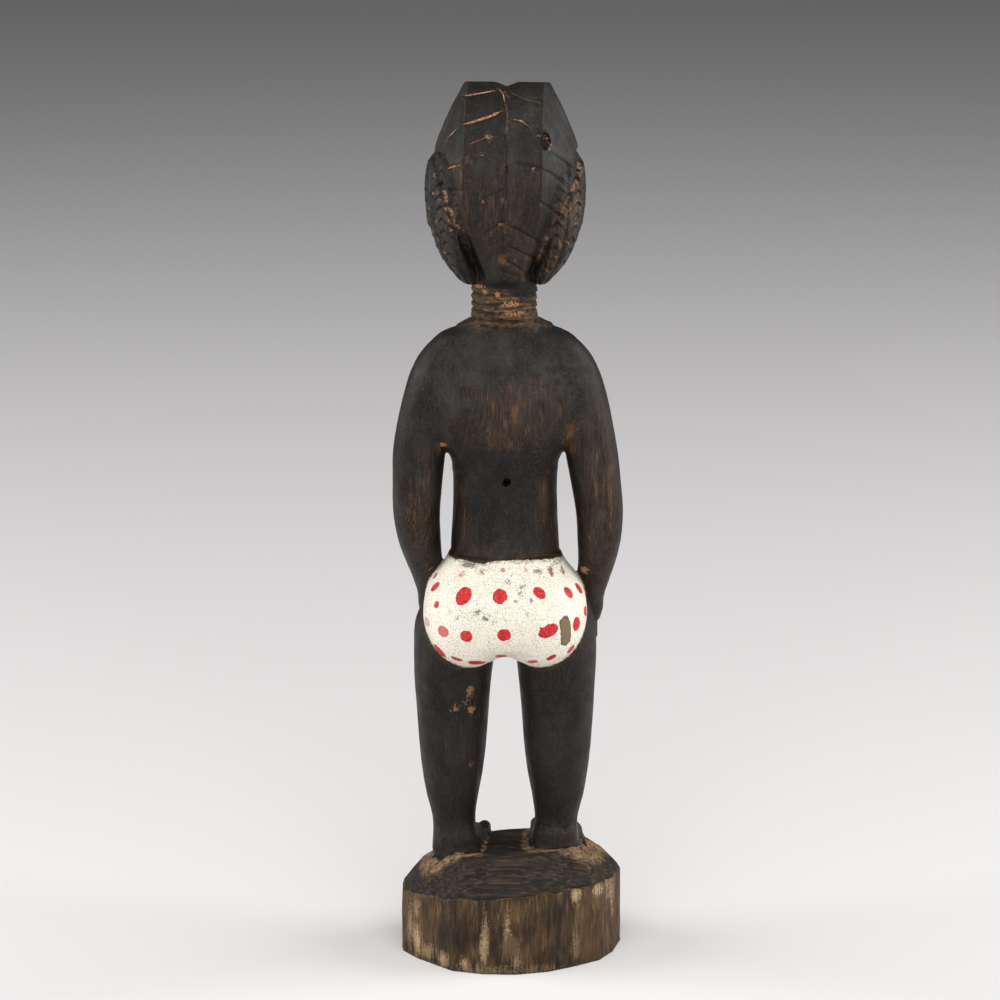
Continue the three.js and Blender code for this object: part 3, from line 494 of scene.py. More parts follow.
def along_stroke(points, u, v):
    """Each place's distance from a line through the points, its side of it, and how far from its ends."""
    nearest, side, run = FAR + 0 * (u + v), 1 + 0 * (u + v), 0 * (u + v)
    passed = 0
    for (u1, v1), (u2, v2) in zip(points, points[1:]):
        du, dv = u2 - u1, v2 - v1
        length = math.hypot(du, dv)
        share = np.clip(((u - u1) * du + (v - v1) * dv) / length**2, 0, 1)
        away = np.hypot(u - u1 - share * du, v - v1 - share * dv)
        closer = away < nearest
        nearest = np.where(closer, away, nearest)
        side = np.where(closer, np.sign((u - u1) * dv - (v - v1) * du), side)
        run = np.where(closer, passed + share * length, run)
        passed += length
    return nearest, side, np.minimum(run, passed - run)


def rotated(u, v, turn):
    """Places (u, v) measured on axes that are turned by an angle in radians."""
    c, s = math.cos(turn), math.sin(turn)
    return c * u + s * v, c * v - s * u


def spaced(stretches):
    """The grid's places along one axis."""
    scale = 1
    runs = [np.arange(start, end, step * scale) for start, end, step in stretches]
    return np.concatenate(runs).astype(np.float32)


class Block:
    """A block of space gridded in x, y and z; a place holds less than 0 inside the wood, more outside."""

    def __init__(self, xs, ys, zs):
        self.axes = (zs, ys, xs)
        self.gap = np.full([len(axis) for axis in self.axes], FAR, np.float32)

    def window(self, low, high, margin):
        """The part of the grid round a box: its slices, and its x, y and z."""
        cut = []
        for axis, start, end in zip(self.axes, low[::-1], high[::-1]):
            first = max(np.searchsorted(axis, start - margin) - 1, 0)
            cut.append(slice(first, np.searchsorted(axis, end + margin) + 1))
        zs, ys, xs = (axis[part] for axis, part in zip(self.axes, cut))
        return tuple(cut), (xs[None, None, :], ys[None, :, None], zs[:, None, None])

    def join(self, form, blend=0.6):
        gap, low, high = form
        most = blend(self.axes[0]).max() if callable(blend) else blend
        here, (x, y, z) = self.window(low, high, most + 1.5)
        width = blend(z) if callable(blend) else blend
        self.gap[here] = smooth_min(self.gap[here], gap(x, y, z), width)

    def cut(self, form, blend=0.4):
        gap, low, high = form
        here, (x, y, z) = self.window(low, high, blend + 1.5)
        self.gap[here] = smooth_max(self.gap[here], -gap(x, y, z), blend)

    def score(self, strokes, back=True):
        """Knife cuts drawn on the back or the front, each as points (x, height), half width and depth."""
        near, far = SCORED if back else (-SCORED[1], -SCORED[0])
        for points, half, depth, *_ in strokes:
            xs, zs = zip(*points)
            here, (x, _, z) = self.window((min(xs), near, min(zs)), (max(xs), far, max(zs)), half + 0.5)
            away, *_ = along_stroke(points, x, z)
            self.gap[here] += depth * np.clip(1 - away / half, 0, 1)

    def pierce(self, holes):
        """Round holes and hooks, each as start, end, radius at both and how soft the edge is."""
        for start, end, radius, end_radius, blend in holes:
            self.cut(bar(start, end, radius, end_radius), blend)

    def surface(self):
        """Points and triangles where wood meets air."""
        inside = self.gap < 0
        size = np.array(inside.shape) - 1
        every, some = np.ones(size, bool), np.zeros(size, bool)
        corners = list(itertools.product((0, 1), repeat=3))
        for corner in corners:
            part = inside[tuple(slice(c, c + n) for c, n in zip(corner, size))]
            every &= part
            some |= part
        cells = np.argwhere(some & ~every)
        number = np.full(size, -1, np.int64)
        number[tuple(cells.T)] = np.arange(len(cells))
        values = {corner: self.gap[tuple((cells + corner).T)] for corner in corners}
        total, count = np.zeros((len(cells), 3)), np.zeros(len(cells))
        for a, b in itertools.combinations(corners, 2):
            if sum(abs(i - j) for i, j in zip(a, b)) != 1:
                continue
            crossing = (values[a] < 0) != (values[b] < 0)
            start, end = values[a][crossing], values[b][crossing]
            share = (start / (start - end))[:, None]
            total[crossing] += np.array(a) + share * (np.array(b) - np.array(a))
            count[crossing] += 1
        places = cells + total / count[:, None]
        spots = [np.interp(places[:, i], np.arange(len(axis)), axis) for i, axis in enumerate(self.axes)]
        points = np.stack(spots[::-1], axis=1)
        return points, np.concatenate([self.walls(inside, number, axis) for axis in range(3)])

    @staticmethod
    def walls(inside, number, axis):
        """Triangles round every grid edge along one axis that passes through the surface."""
        first = np.moveaxis(inside, axis, 0)
        # The two other axes, in the order that turns anticlockwise seen from the end of this one
        second, third = {0: (2, 1), 1: (0, 2), 2: (1, 0)}[axis]
        change = np.argwhere(first[1:] != first[:-1])
        full = np.zeros((len(change), 3), int)
        rest = [i for i in range(3) if i != axis]
        full[:, axis] = change[:, 0]
        full[:, rest[0]], full[:, rest[1]] = change[:, 1], change[:, 2]
        ring = []
        for back_second, back_third in ((1, 1), (0, 1), (0, 0), (1, 0)):
            spot = full.copy()
            spot[:, second] -= back_second
            spot[:, third] -= back_third
            ring.append(number[tuple(spot.T)])
        ring = np.stack(ring, axis=1)
        outward = inside[tuple(full.T)]
        ring[~outward] = ring[~outward][:, ::-1]
        return np.concatenate([ring[:, [0, 1, 2]], ring[:, [0, 2, 3]]])


def arm(side):
    """One arm: its rows, leaning out and back from the armpit down, and its form."""
    out, back = ARM_LEAN[side]
    rows = []
    for z, centre, half, front, rear in ARM:
        share = min(max((LEAN_FROM - z) / (LEAN_FROM - LEAN_TO), 0), 1)
        rows.append((z, centre + out * share, half, front + back * share, rear + back * share))
    return rows, upright(rows, side)


def arm_blend(z):
    """How softly an arm runs into the body at each height."""
    return ARM_BLEND + (SHOULDER_BLEND - ARM_BLEND) * soft_step(z, ARMPIT, SHOULDER)


def at(table, key):
    """A table's other columns at one key."""
    return [float(value) for value in curves(table, np.array(float(key)))]


def front_of(table, out, z):
    """The y of a form's front surface at a distance from its own table's midline and a height."""
    middle, half, front, back = at(table, z) if len(table[0]) == 5 else [0, *at(table, z)]
    share = (out - middle) / half
    return (front + back) / 2 + (front - back) / 2 * math.sqrt(max(0, 1 - share * share))


def digits(side):
    """The fingers and thumb that lie on one thigh."""
    _, wrist, _, front, back = arm(side)[0][0]
    strokes = []
    for finger in range(FINGERS):
        across = FINGER["first"] + finger * FINGER["spacing"]
        tip = FINGER["tip"] + abs(finger - FINGER["longest"])
        strokes.append((across, across, FINGER["top"], tip, FINGER["radius"]))
    strokes.append((THUMB["start"], THUMB["end"], THUMB["top"], THUMB["tip"], THUMB["radius"]))
    for start, end, top, tip, radius in strokes:
        knuckle = (MIDLINE + side * (wrist + start), (front + back) / 2, top)
        y = front_of(LEG, wrist + end, tip) + FINGER["sunk"] - radius / 2
        yield bar(knuckle, (MIDLINE + side * (wrist + end), y, tip), radius)


def base_top(x, y):
    """The height of the base's top, which tilts a little."""
    return BASE_TOP + TOP_TILT_X * x + TOP_TILT_Y * y


def foot_shift(y):
    """How far a foot swings aside at a distance from its heel."""
    return FOOT_TURN * (y - FOOT_TURN_FROM)


def foot(side):
    """One foot without its toes, drawn along y."""
    rows = np.array(FOOT, float)

    def gap(x, y, z):
        out, half, tall = curves(rows, y)
        middle = MIDLINE + side * out + foot_shift(y)
        up = z - base_top(middle, y)
        distance = oval_gap(x - middle, up, half, np.where(up > 0, tall, SOLE_SUNK))
        return np.maximum(distance, np.maximum(rows[0, 0] - y, y - rows[-1, 0]))

    middle = MIDLINE + side * FOOT_BOX["out"]
    ground = base_top(middle, 0)
    low = (middle - FOOT_BOX["left"], rows[0, 0], ground - FOOT_BOX["under"])
    return gap, low, (middle + FOOT_BOX["right"], rows[-1, 0], ground + FOOT_BOX["over"])


def heel(side):
    """The heel left as a chiselled block with bevelled corners."""
    middle, half, tall, sunk = MIDLINE + side * HEEL["out"], HEEL["half"], HEEL["tall"], HEEL["sunk"]
    centre, deep = (HEEL["front"] + HEEL["back"]) / 2, (HEEL["back"] - HEEL["front"]) / 2
    ground = base_top(middle, centre)

    def gap(x, y, z):
        wall = oval_gap(x - middle, y - centre, half, deep, HEEL["square"])
        slope = (z - ground - tall) * HEEL_SLOPE[1] + (y - centre) * HEEL_SLOPE[0]
        return smooth_max(wall, np.maximum(slope, ground - sunk - z), HEEL_BLEND)

    low = (middle - half, HEEL["front"], ground - sunk)
    return gap, low, (middle + half, HEEL["back"], ground + tall + HEEL_OVER)


def toes(side):
    """Five toes side by side, smaller and shorter from the big toe out."""
    middle = MIDLINE + side * FOOT[0][1] + foot_shift(TOE["y"])
    for toe in range(TOES):
        share = toe / (TOES - 1)
        radius = TOE["big"] + (TOE["small"] - TOE["big"]) * share
        span = TOE["width"] - TOE["big"] - TOE["small"] - radius * TOE_LAP
        x = middle + side * (radius + share * span - TOE["width"] / 2)
        z = base_top(x, TOE["y"]) + radius * TOE_LIFT
        tip = TOE["y"] - TOE["length"] * (1 - TOE_SHORTER * share)
        yield bar((x, TOE["y"] + TOE["root"], z), (x, tip + radius, z), radius)


def base():
    """The round base: straight adzed sides between its corners, and a top that slopes up from the rim."""
    corners = np.array(BASE_CORNERS, float)
    corners = np.concatenate([corners[-1:] - (360, 0), corners, corners[:1] + (360, 0)])
    bearings, reaches = np.radians(corners[:, 0]), corners[:, 1]

    def reach(turn):
        """Distance to the straight side between two corners, at a bearing."""
        turn = np.mod(turn, 2 * np.pi)
        spot = np.clip(np.searchsorted(bearings, turn) - 1, 0, len(bearings) - 2)
        t1, t2, r1, r2 = bearings[spot], bearings[spot + 1], reaches[spot], reaches[spot + 1]
        return r1 * r2 * np.sin(t2 - t1) / (r1 * np.sin(turn - t1) + r2 * np.sin(t2 - turn))

    def gap(x, y, z):
        share = np.hypot(x, y) / reach(np.arctan2(y, x))
        inner = np.hypot(x, y - TOP_SHIFT) / reach(np.arctan2(y - TOP_SHIFT, x))
        rim = BASE_RIM + RIM_TILT_X * x + RIM_TILT_Y * y
        rise = np.interp((share + inner) / 2, *zip(*RIM_PROFILE))
        side = (share - 1) * BASE_RADIUS
        return smooth_max(side, (z - rim - (base_top(x, y) - rim) * rise) * SLOPE_SHARE, BASE_BLEND)

    return gap, *BASE_BOX


def neck():
    """The ringed neck."""
    def gap(x, y, z):
        across, along = x - NECK["x"], y - NECK["y"]
        turn = np.arctan2(along, across)
        distance = np.hypot(across, along) - NECK["radius"]
        for ring, (height, depth) in enumerate(NECK_GROOVES):
            # Each groove wanders up and down on its way round
            drift = 0.45 * np.sin(turn * 2 + ring // 2 * 1.7) + 0.25 * np.sin(turn * 3 + ring * 2.9)
            away = np.abs(z - height - drift)
            distance = distance + depth * np.clip(1 - away / (0.5 + 0.5 * depth), 0, 1)
        return np.maximum(distance, np.maximum(NECK["from"] - z, z - NECK["to"]))

    reach = NECK["radius"]
    low = (NECK["x"] - reach, NECK["y"] - reach, NECK["from"])
    return gap, low, (NECK["x"] + reach, NECK["y"] + reach, NECK["to"])


def crest():
    """The tall faceted hairdress, with its parting and the notch in its top."""
    rows = np.array(CREST, float)

    def edge(across, along, start, end):
        """How far a place lies outside the line between two corners that run clockwise seen from above."""
        du, dv = end[0] - start[0], end[1] - start[1]
        return ((along - start[1]) * du - (across - start[0]) * dv) / np.hypot(du, dv)

    def gap(x, y, z):
        side, side_y, back, front, corner = curves(rows, z)
        across, along = rotated(x - MIDLINE - CREST_SHIFT, y, CREST_TURN)
        across = np.abs(across)
        rear = (corner, back - CORNER_SETBACK)
        flank = (side, side_y)
        brow = (corner * FRONT_NARROWING, front + FRONT_SETBACK)
        middle = PARTING_HALF * np.ones_like(back)
        parting = PARTING_DEPTH * np.clip(1 - across / PARTING_HALF, 0, 1)
        wall = np.maximum(along - back, edge(across, along, (middle, back), rear)) + parting
        wall = smooth_max(wall, edge(across, along, rear, flank), REAR_BLEND)
        wall = smooth_max(wall, edge(across, along, flank, brow), FLANK_BLEND)
        face = np.maximum(edge(across, along, brow, (middle, front)), front - along) + parting
        wall = smooth_max(wall, face, FACE_BLEND)
        level = z - CREST_TOP + CREST_DROP * (CREST_TOP_BACK - along)
        notch = NOTCH_DEPTH * np.clip(1 - across / NOTCH_HALF, 0, 1)
        wall = smooth_max(wall, level + notch, CREST_TOP_BLEND)
        return np.maximum(wall, rows[0, 0] - z)

    return gap, (-34, -36, rows[0, 0]), (37, 33, CREST_TOP)


def plait(across, along, z):
    """Rows of plaited hair round a side lock: upright furrows, and slanting nicks along each row."""
    turn = np.arctan2(along, across) / (2 * np.pi) * BRAIDS
    row = np.abs(turn - np.floor(turn) - 0.5) * 2
    nick = (z / NICK_RISE + row * NICK_SLANT + np.floor(turn) * NICK_STAGGER) % 1
    nick = NICK_DEPTH * (0.35 * nick + soft_step(nick, 0.72, 1) * 0.65)
    return soft_step(row, 0.55, 1) + nick * (1 - row * 0.5)


def face_opening():
    """What is cut away under the arch of the hairdress to let the face show."""
    def gap(x, y, z):
        across = x - MIDLINE
        arch = oval_gap(across, np.maximum(z - ARCH_FROM, 0), FACE_HALF, ARCH_TOP - ARCH_FROM)
        return smooth_max(arch, y - FACE_BACK, 1)

    return gap, (MIDLINE - FACE_HALF, -60, 300), (MIDLINE + FACE_HALF, FACE_BACK, ARCH_TOP)


def placed(spec, side=0):
    """An ellipsoid by its table entry, on the midline or to one side of it."""
    return ellipsoid(MIDLINE + side * spec.get("across", 0), spec["y"], spec["z"], spec["size"])


def face_of(side):
    """The forms of one side of the face: each is joined or cut, with how softly."""
    brow = [(MIDLINE + side * x, front_of(SKULL, x, z) - BROW_PROUD, z) for x, z in BROW]
    for i, (start, end) in enumerate(zip(brow, brow[1:])):
        thick = [BROW_RADIUS * (0.5 + 0.5 * math.sin(math.pi * k / BROW_PIECES)) for k in (i, i + 1)]
        yield Block.join, bar(start, end, *thick), 0.9
    yield Block.join, placed(EYE, side), 0.7
    across, level = EYE["across"], EYE["z"] - EYE_SLIT["below"]
    middle = (MIDLINE + side * across, EYE["y"] - EYE["size"][1] - EYE_SLIT["proud"], level)
    for out in (across - EYE_SLIT["half"], across + EYE_SLIT["half"]):
        corner = (MIDLINE + side * out, front_of(SKULL, out, level) - EYE_SLIT["sunk"], level)
        yield Block.cut, bar(corner, middle, EYE_SLIT["radius"]), 0.3
    yield Block.join, placed(EAR, side), 0.8
    yield Block.cut, placed(EAR_HOLLOW, side), 0.6
    yield Block.cut, placed(NOSTRIL, side), 0.4


def front_cuts():
    """The even knife cuts that slant down from the parting on the front of the hairdress."""
    start, end, drop = FRONT_CUTS["from"], FRONT_CUTS["to"], FRONT_CUTS["drop"]
    for z in FRONT_CUTS["heights"]:
        for side in SIDES:
            points = [(MIDLINE + side * start, z), (MIDLINE + side * end, z - drop)]
            yield points, FRONT_CUTS["half"], FRONT_CUTS["depth"]


def build_head(block):
    block.join(crest())
    for side in SIDES:
        block.join(upright(SIDE_LOCK, side, reshape=plait), 0.5)
    block.cut(face_opening(), 0.8)
    block.join(upright(SKULL), 0.8)
    block.join(upright(NOSE), 1.6)
    for side in SIDES:
        for action, form, blend in face_of(side):
            action(block, form, blend)
    half, deep, tall = LIPS["size"]
    for height, share in ((LIPS["upper"], 1), (LIPS["lower"], LIPS["lower_share"])):
        block.join(ellipsoid(MIDLINE, LIPS["y"], height, (half * share, deep, tall)), 0.5)
    block.score(HAIR_CUTS + LOCK_GROOVES)
    block.score(front_cuts(), back=False)
    block.cut(ellipsoid(*PIT[0], PIT[1]), 0.6)
    block.pierce(PIT_HOOKS)


def build_body(block):
    block.join(neck(), 0.5)
    block.join(upright(TORSO), 1.0)
    block.join(upright(YOKE, power=YOKE_SQUARE), 6)
    for side in SIDES:
        block.join(placed(BREAST, side), 4)
    block.join(placed(NAVEL), 1.2)
    block.join(upright(HIPS, power=HIPS_SQUARE), 0.5)
    for side in SIDES:
        block.join(placed(BUTTOCK, side), 4)
    for side in SIDES:
        block.join(upright(LEG, side), 1.0)
    block.join(base(), 1.0)
    for side in SIDES:
        block.join(foot(side), 2.5)
        block.join(heel(side), 1.2)
        for toe in toes(side):
            block.join(toe, 0.7)
    for side in SIDES:
        block.join(arm(side)[1], arm_blend)
        for digit in digits(side):
            block.join(digit, 0.7)
    block.pierce(WORM_HOLE)


def edge_sums(count, edges, values):
    """For each point, the sum of a value over its neighbours."""
    total = np.zeros((count, values.shape[1]))
    for i in range(values.shape[1]):
        total[:, i] += np.bincount(edges[:, 0], values[edges[:, 1], i], count)
        total[:, i] += np.bincount(edges[:, 1], values[edges[:, 0], i], count)
    return total


def set_points(mesh, points):
    """Puts a mesh's points at places in millimetres."""
    mesh.vertices.foreach_set("co", (points * MM).astype(np.float32).ravel())


def mesh_from(points, triangles):
    mesh = bpy.data.meshes.new("figure_carving")
    mesh.vertices.add(len(points))
    set_points(mesh, points)
    mesh.loops.add(triangles.size)
    mesh.loops.foreach_set("vertex_index", triangles.astype(np.int32).ravel())
    mesh.polygons.add(len(triangles))
    mesh.polygons.foreach_set("loop_start", np.arange(0, triangles.size, 3, dtype=np.int32))
    mesh.update(calc_edges=True)
    mesh.validate()
    return mesh


def read(items, name, width, kind=np.float32):
    """One property of all the points or edges of a mesh, as rows."""
    flat = np.empty(len(items) * width, kind)
    items.foreach_get(name, flat)
    return flat.reshape(-1, width)


def points_and_normals(mesh):
    """Points in millimetres, and the directions that they face."""
    points = read(mesh.vertices, "co", 3).astype(float) / MM
    return points, read(mesh.vertex_normals, "vector", 3).astype(float)


def zones(points):
    """How far each point lies from the hips, the arms, the legs, the base and the feet."""
    forms = {
        "hips": [upright(HIPS, power=HIPS_SQUARE), *(placed(BUTTOCK, side) for side in SIDES)],
        "arms": [form for side in SIDES for form in (arm(side)[1], *digits(side))],
        "legs": [upright(LEG, side) for side in SIDES],
        "base": [base()],
        "feet": [form(side) for side in SIDES for form in (foot, heel)],
    }
    return {name: np.min([form[0](*points.T) for form in group], axis=0) for name, group in forms.items()}


def tool_marks(points, normals, zone):
    """How far the knife, adze and years sank each point below the drawn form."""
    z = points[:, 2]
    on_base = soft_step(0.8 - zone["base"], 0, 0.5) * soft_step(BASE_END - z, 0, 3)
    upright_face = 1 - soft_step(np.abs(normals[:, 2]), 0.35, 0.8)
    grain = noise(points, *LOG_GRAIN) + 0.6 * noise(points, *FINE_LOG_GRAIN)
    gouges = noise(points, *GOUGES) + 0.5 * noise(points, *FINE_GOUGES)
    sunk_base = upright_face * (0.55 + 0.28 * grain + 0.35 * (1 - scoops(points, *ADZE)))
    sunk_base += (1 - upright_face) * (0.5 + 0.5 * gouges)
    roughness = np.where(zone["hips"] < 0.4, 0.35, 1.0)
    knife = 0.1 * (1 - scoops(points, *KNIFE)) + 0.035 * noise(points, *FINE_MARKS)
    sunk_body = 0.22 + 0.12 * noise(points, *WAVES) + roughness * knife
    sunk_body += soft_step(z, *HEAD_START) * (0.1 + 0.1 * noise(points, *HEAD_MARKS))
    sunk_body *= 1 - 0.85 * soft_step(z, *CROWN_SMOOTH)
    on_neck = soft_step(z, *NECK_START) * (1 - soft_step(z, *NECK_END))
    sunk_body += on_neck * (0.2 + 0.28 * noise(points, *NECK_MARKS))
    return np.maximum(on_base * sunk_base + (1 - on_base) * sunk_body, 0)


def deepest(marks, count):
    """Signed distance into the nearest of some marks at each point, and that mark's strength."""
    depth, tone = np.full(count, OUTSIDE), np.zeros(count)
    for inside, strength in marks:
        closer = inside > depth
        depth[closer] = inside[closer]
        tone[closer] = strength
    return depth, tone


def dot_field(points):
    """Signed distance into the nearest dot, that dot's strength, and the distance into the bare patch."""
    x, y, z = points.T
    bearing = np.degrees(np.arctan2(y - DOT_AXIS[1], x - DOT_AXIS[0])) % 360
    reach = np.hypot(x - DOT_AXIS[0], y - DOT_AXIS[1])

    def inside(dot, power=2):
        turn, height, half, tall, tilt, _ = dot
        across = -np.radians((bearing - turn + 180) % 360 - 180) * reach
        u, v = rotated(across, z - height, math.radians(tilt))
        u, v = np.abs(u) / half, np.abs(v) / tall
        return (1 - (u**power + v**power) ** (1 / power)) * min(half, tall)

    return *deepest(((inside(dot), dot[-1]) for dot in DOTS), len(points)), inside(BARE_PATCH, 3.5)


def cut_lines(points):
    """The nearest knife cut: distance across it in its own half widths, how near it is, and its tone."""
    x, y, z = points.T
    nearest, across = np.full(len(points), FAR), np.full(len(points), FAR)
    tone = np.zeros(len(points))
    for stroke, half, _, pale in HAIR_CUTS + BODY_CUTS:
        away, side, run = along_stroke(stroke, x, z)
        width = LINE_SHARE * half**2 * soft_step(run, -1.5, 3.5)
        closer = away < nearest
        nearest = np.where(closer, away, nearest)
        across = np.where(closer, np.clip(side * away / np.maximum(width, 0.05), -9, 9), across)
        tone = np.where(closer, pale, tone)
    near = (1 - soft_step(nearest, 1.3, 2)) * soft_step(y, *BEHIND)
    return {"line_across": across, "line_near": near, "line_tone": tone}


def worn_edges(points):
    """How pale the rubbed edges beside the side locks show."""
    x, y, z = points.T
    pale = np.zeros(len(points))
    for stroke, half, fresh in WORN_EDGES:
        away, *_ = along_stroke(stroke, x, z)
        pale = np.maximum(pale, fresh * np.clip(1.3 - away / half, 0, 1))
    return pale * soft_step(y, *BEHIND)


def gauges(points, table):
    """Each mark's gauge at each point, 1 on its outline, with its lesser half size and its strength."""
    x, _, z = points.T
    for across, height, half, tall, tilt, strength in table:
        u, v = rotated(x - across, z - height, math.radians(tilt))
        yield np.hypot(u / half, v / tall), min(half, tall), strength


def soft_marks(points, table):
    """The strongest mark at each point, fading out across its outline."""
    most = np.zeros(len(points))
    for gauge, _, strength in gauges(points, table):
        most = np.maximum(most, strength * (1 - soft_step(gauge, 0.35, 1.45)))
    return most


def mark_depth(points, table):
    """Signed distance into the nearest mark on the back, and its strength."""
    marks = (((1 - gauge) * size, strength) for gauge, size, strength in gauges(points, table))
    depth, tone = deepest(marks, len(points))
    depth[points[:, 1] < 0] = OUTSIDE
    return depth, tone


def paint_edge(points, zone):
    """Signed distance into the painted shorts."""
    x, y, z = points.T
    top = np.where(y > 0, np.interp(x, *zip(*PAINT_TOP)), PAINT_TOP_FRONT) - z
    over_leg = (zone["legs"] - zone["hips"]) * 0.7
    over_arm = (zone["arms"] - zone["hips"]) * 0.7
    return np.minimum(np.minimum(top, z - PAINT_FOOT), np.minimum(over_arm, over_leg))


def grain_place(points):
    """The x that the wood's grain follows: its lines spread round a knot below the shoulder blades."""
    x, y, z = points.T
    spread = KNOT_SPREAD * np.exp(-(((z - KNOT[1]) / KNOT_TALL) ** 2)) * soft_step(y, 0, 6)
    spread = spread * (1 - soft_step(np.abs(x - KNOT[0]), *KNOT_REACH))
    sway = SWAY * noise(points, *GRAIN_SWAY)
    return KNOT[0] + (x - KNOT[0]) / (1 + spread) + SLANT * y + sway


def hollows(mesh, points, normals):
    """Positive in hollows and negative on edges, in millimetres, smoothed a little."""
    edges = read(mesh.edges, "vertices", 2, np.int32)
    count = len(points)
    degree = np.maximum(np.bincount(edges.ravel(), minlength=count), 1)[:, None]
    mean = edge_sums(count, edges, points) / degree
    bend = ((mean - points) * normals).sum(axis=1, keepdims=True)
    for _ in range(2):
        bend = 0.5 * bend + 0.5 * edge_sums(count, edges, bend) / degree
    return bend[:, 0]


def carve():
    """The figure's mesh: shaped, tooled and thinned to the triangle limit."""
    block = Block(*(spaced(stretches) for stretches in GRID))
    build_head(block)
    build_body(block)
    np.maximum(block.gap, -block.axes[0][:, None, None], out=block.gap)
    mesh = mesh_from(*block.surface())
    points, normals = points_and_normals(mesh)
    sunk = tool_marks(points, normals, zones(points))
    sunk *= 1 - soft_step(-normals[:, 2], 0.6, 0.9) * (points[:, 2] < 1)
    points -= normals * sunk[:, None]
    points[:, 2] = np.maximum(points[:, 2], 0)
    set_points(mesh, points)
    mesh.update()
    return thinned(mesh)


def added(name, data):
    """A new object, linked to the scene."""
    made = bpy.data.objects.new(name, data)
    bpy.context.scene.collection.objects.link(made)
    return made


def thinned(mesh):
    """The same surface with fewer triangles."""
    whole = added("carving_whole", mesh)
    modifier = whole.modifiers.new("thin", "DECIMATE")
    modifier.ratio = min(1, MOST_TRIANGLES / len(mesh.polygons))
    depsgraph = bpy.context.evaluated_depsgraph_get()
    done = bpy.data.meshes.new_from_object(whole.evaluated_get(depsgraph))
    bpy.data.objects.remove(whole)
    bpy.data.meshes.remove(mesh)
    return done


def neck_share(points):
    """Where the neck's own colour shows."""
    x, y, z = points.T
    off = np.hypot(x - NECK["x"], y - NECK["y"])
    along = soft_step(z, *NECK_COLOUR_START) * (1 - soft_step(z, *NECK_COLOUR_END))
    return along * (1 - soft_step(off, *NECK_COLOUR_OUT))


def base_layers(points, normals, zone):
    """Where the base's side and top show, and how far each point lies from the feet."""
    x, _, z = points.T
    on_base = soft_step(0.9 - zone["base"], 0, 0.6) * soft_step(BASE_END + 2 - z, 0, 3)
    on_base *= soft_step(zone["feet"], 0.1, 0.7)
    top = soft_step(normals[:, 2], *TOP_LEVEL)
    between_feet = 1 - soft_step(np.abs(x - MIDLINE), *BETWEEN_FEET)
    feet = np.clip(zone["feet"] + 9 * between_feet, -1, 12)
    return {"base_side": on_base * (1 - top), "base_top": on_base * top, "feet": feet}


def measure(mesh):
    """Stores on the mesh what its material reads."""
    points, normals = points_and_normals(mesh)
    zone = zones(points)
    soft = {"brown": BROWN, "pale_edges": PALE_EDGES, "near_black": NEAR_BLACK, "greyed": GREYED, "grime": GRIME}
    layers = {name: soft_marks(points, table) for name, table in soft.items()}
    layers["greyed"] *= points[:, 1] > 0
    layers["grime"] *= points[:, 1] > 0
    for name, table in (("chip", CHIPS), ("buff", BUFF)):
        layers[f"{name}_depth"], layers[f"{name}_strength"] = mark_depth(points, table)
    layers["dot_depth"], layers["dot_strength"], layers["bare_depth"] = dot_field(points)
    layers |= cut_lines(points)
    layers |= base_layers(points, normals, zone)
    layers |= {
        "paint_depth": paint_edge(points, zone),
        "worn": worn_edges(points),
        "hollow": hollows(mesh, points, normals),
        "neck": neck_share(points),
        "grain_x": grain_place(points),
    }
    for name, values in layers.items():
        layer = mesh.attributes.new(name, "FLOAT", "POINT")
        layer.data.foreach_set("value", values.astype(np.float32))


FIBRE_SQUEEZE = 0.06
GLOSS = 0.19


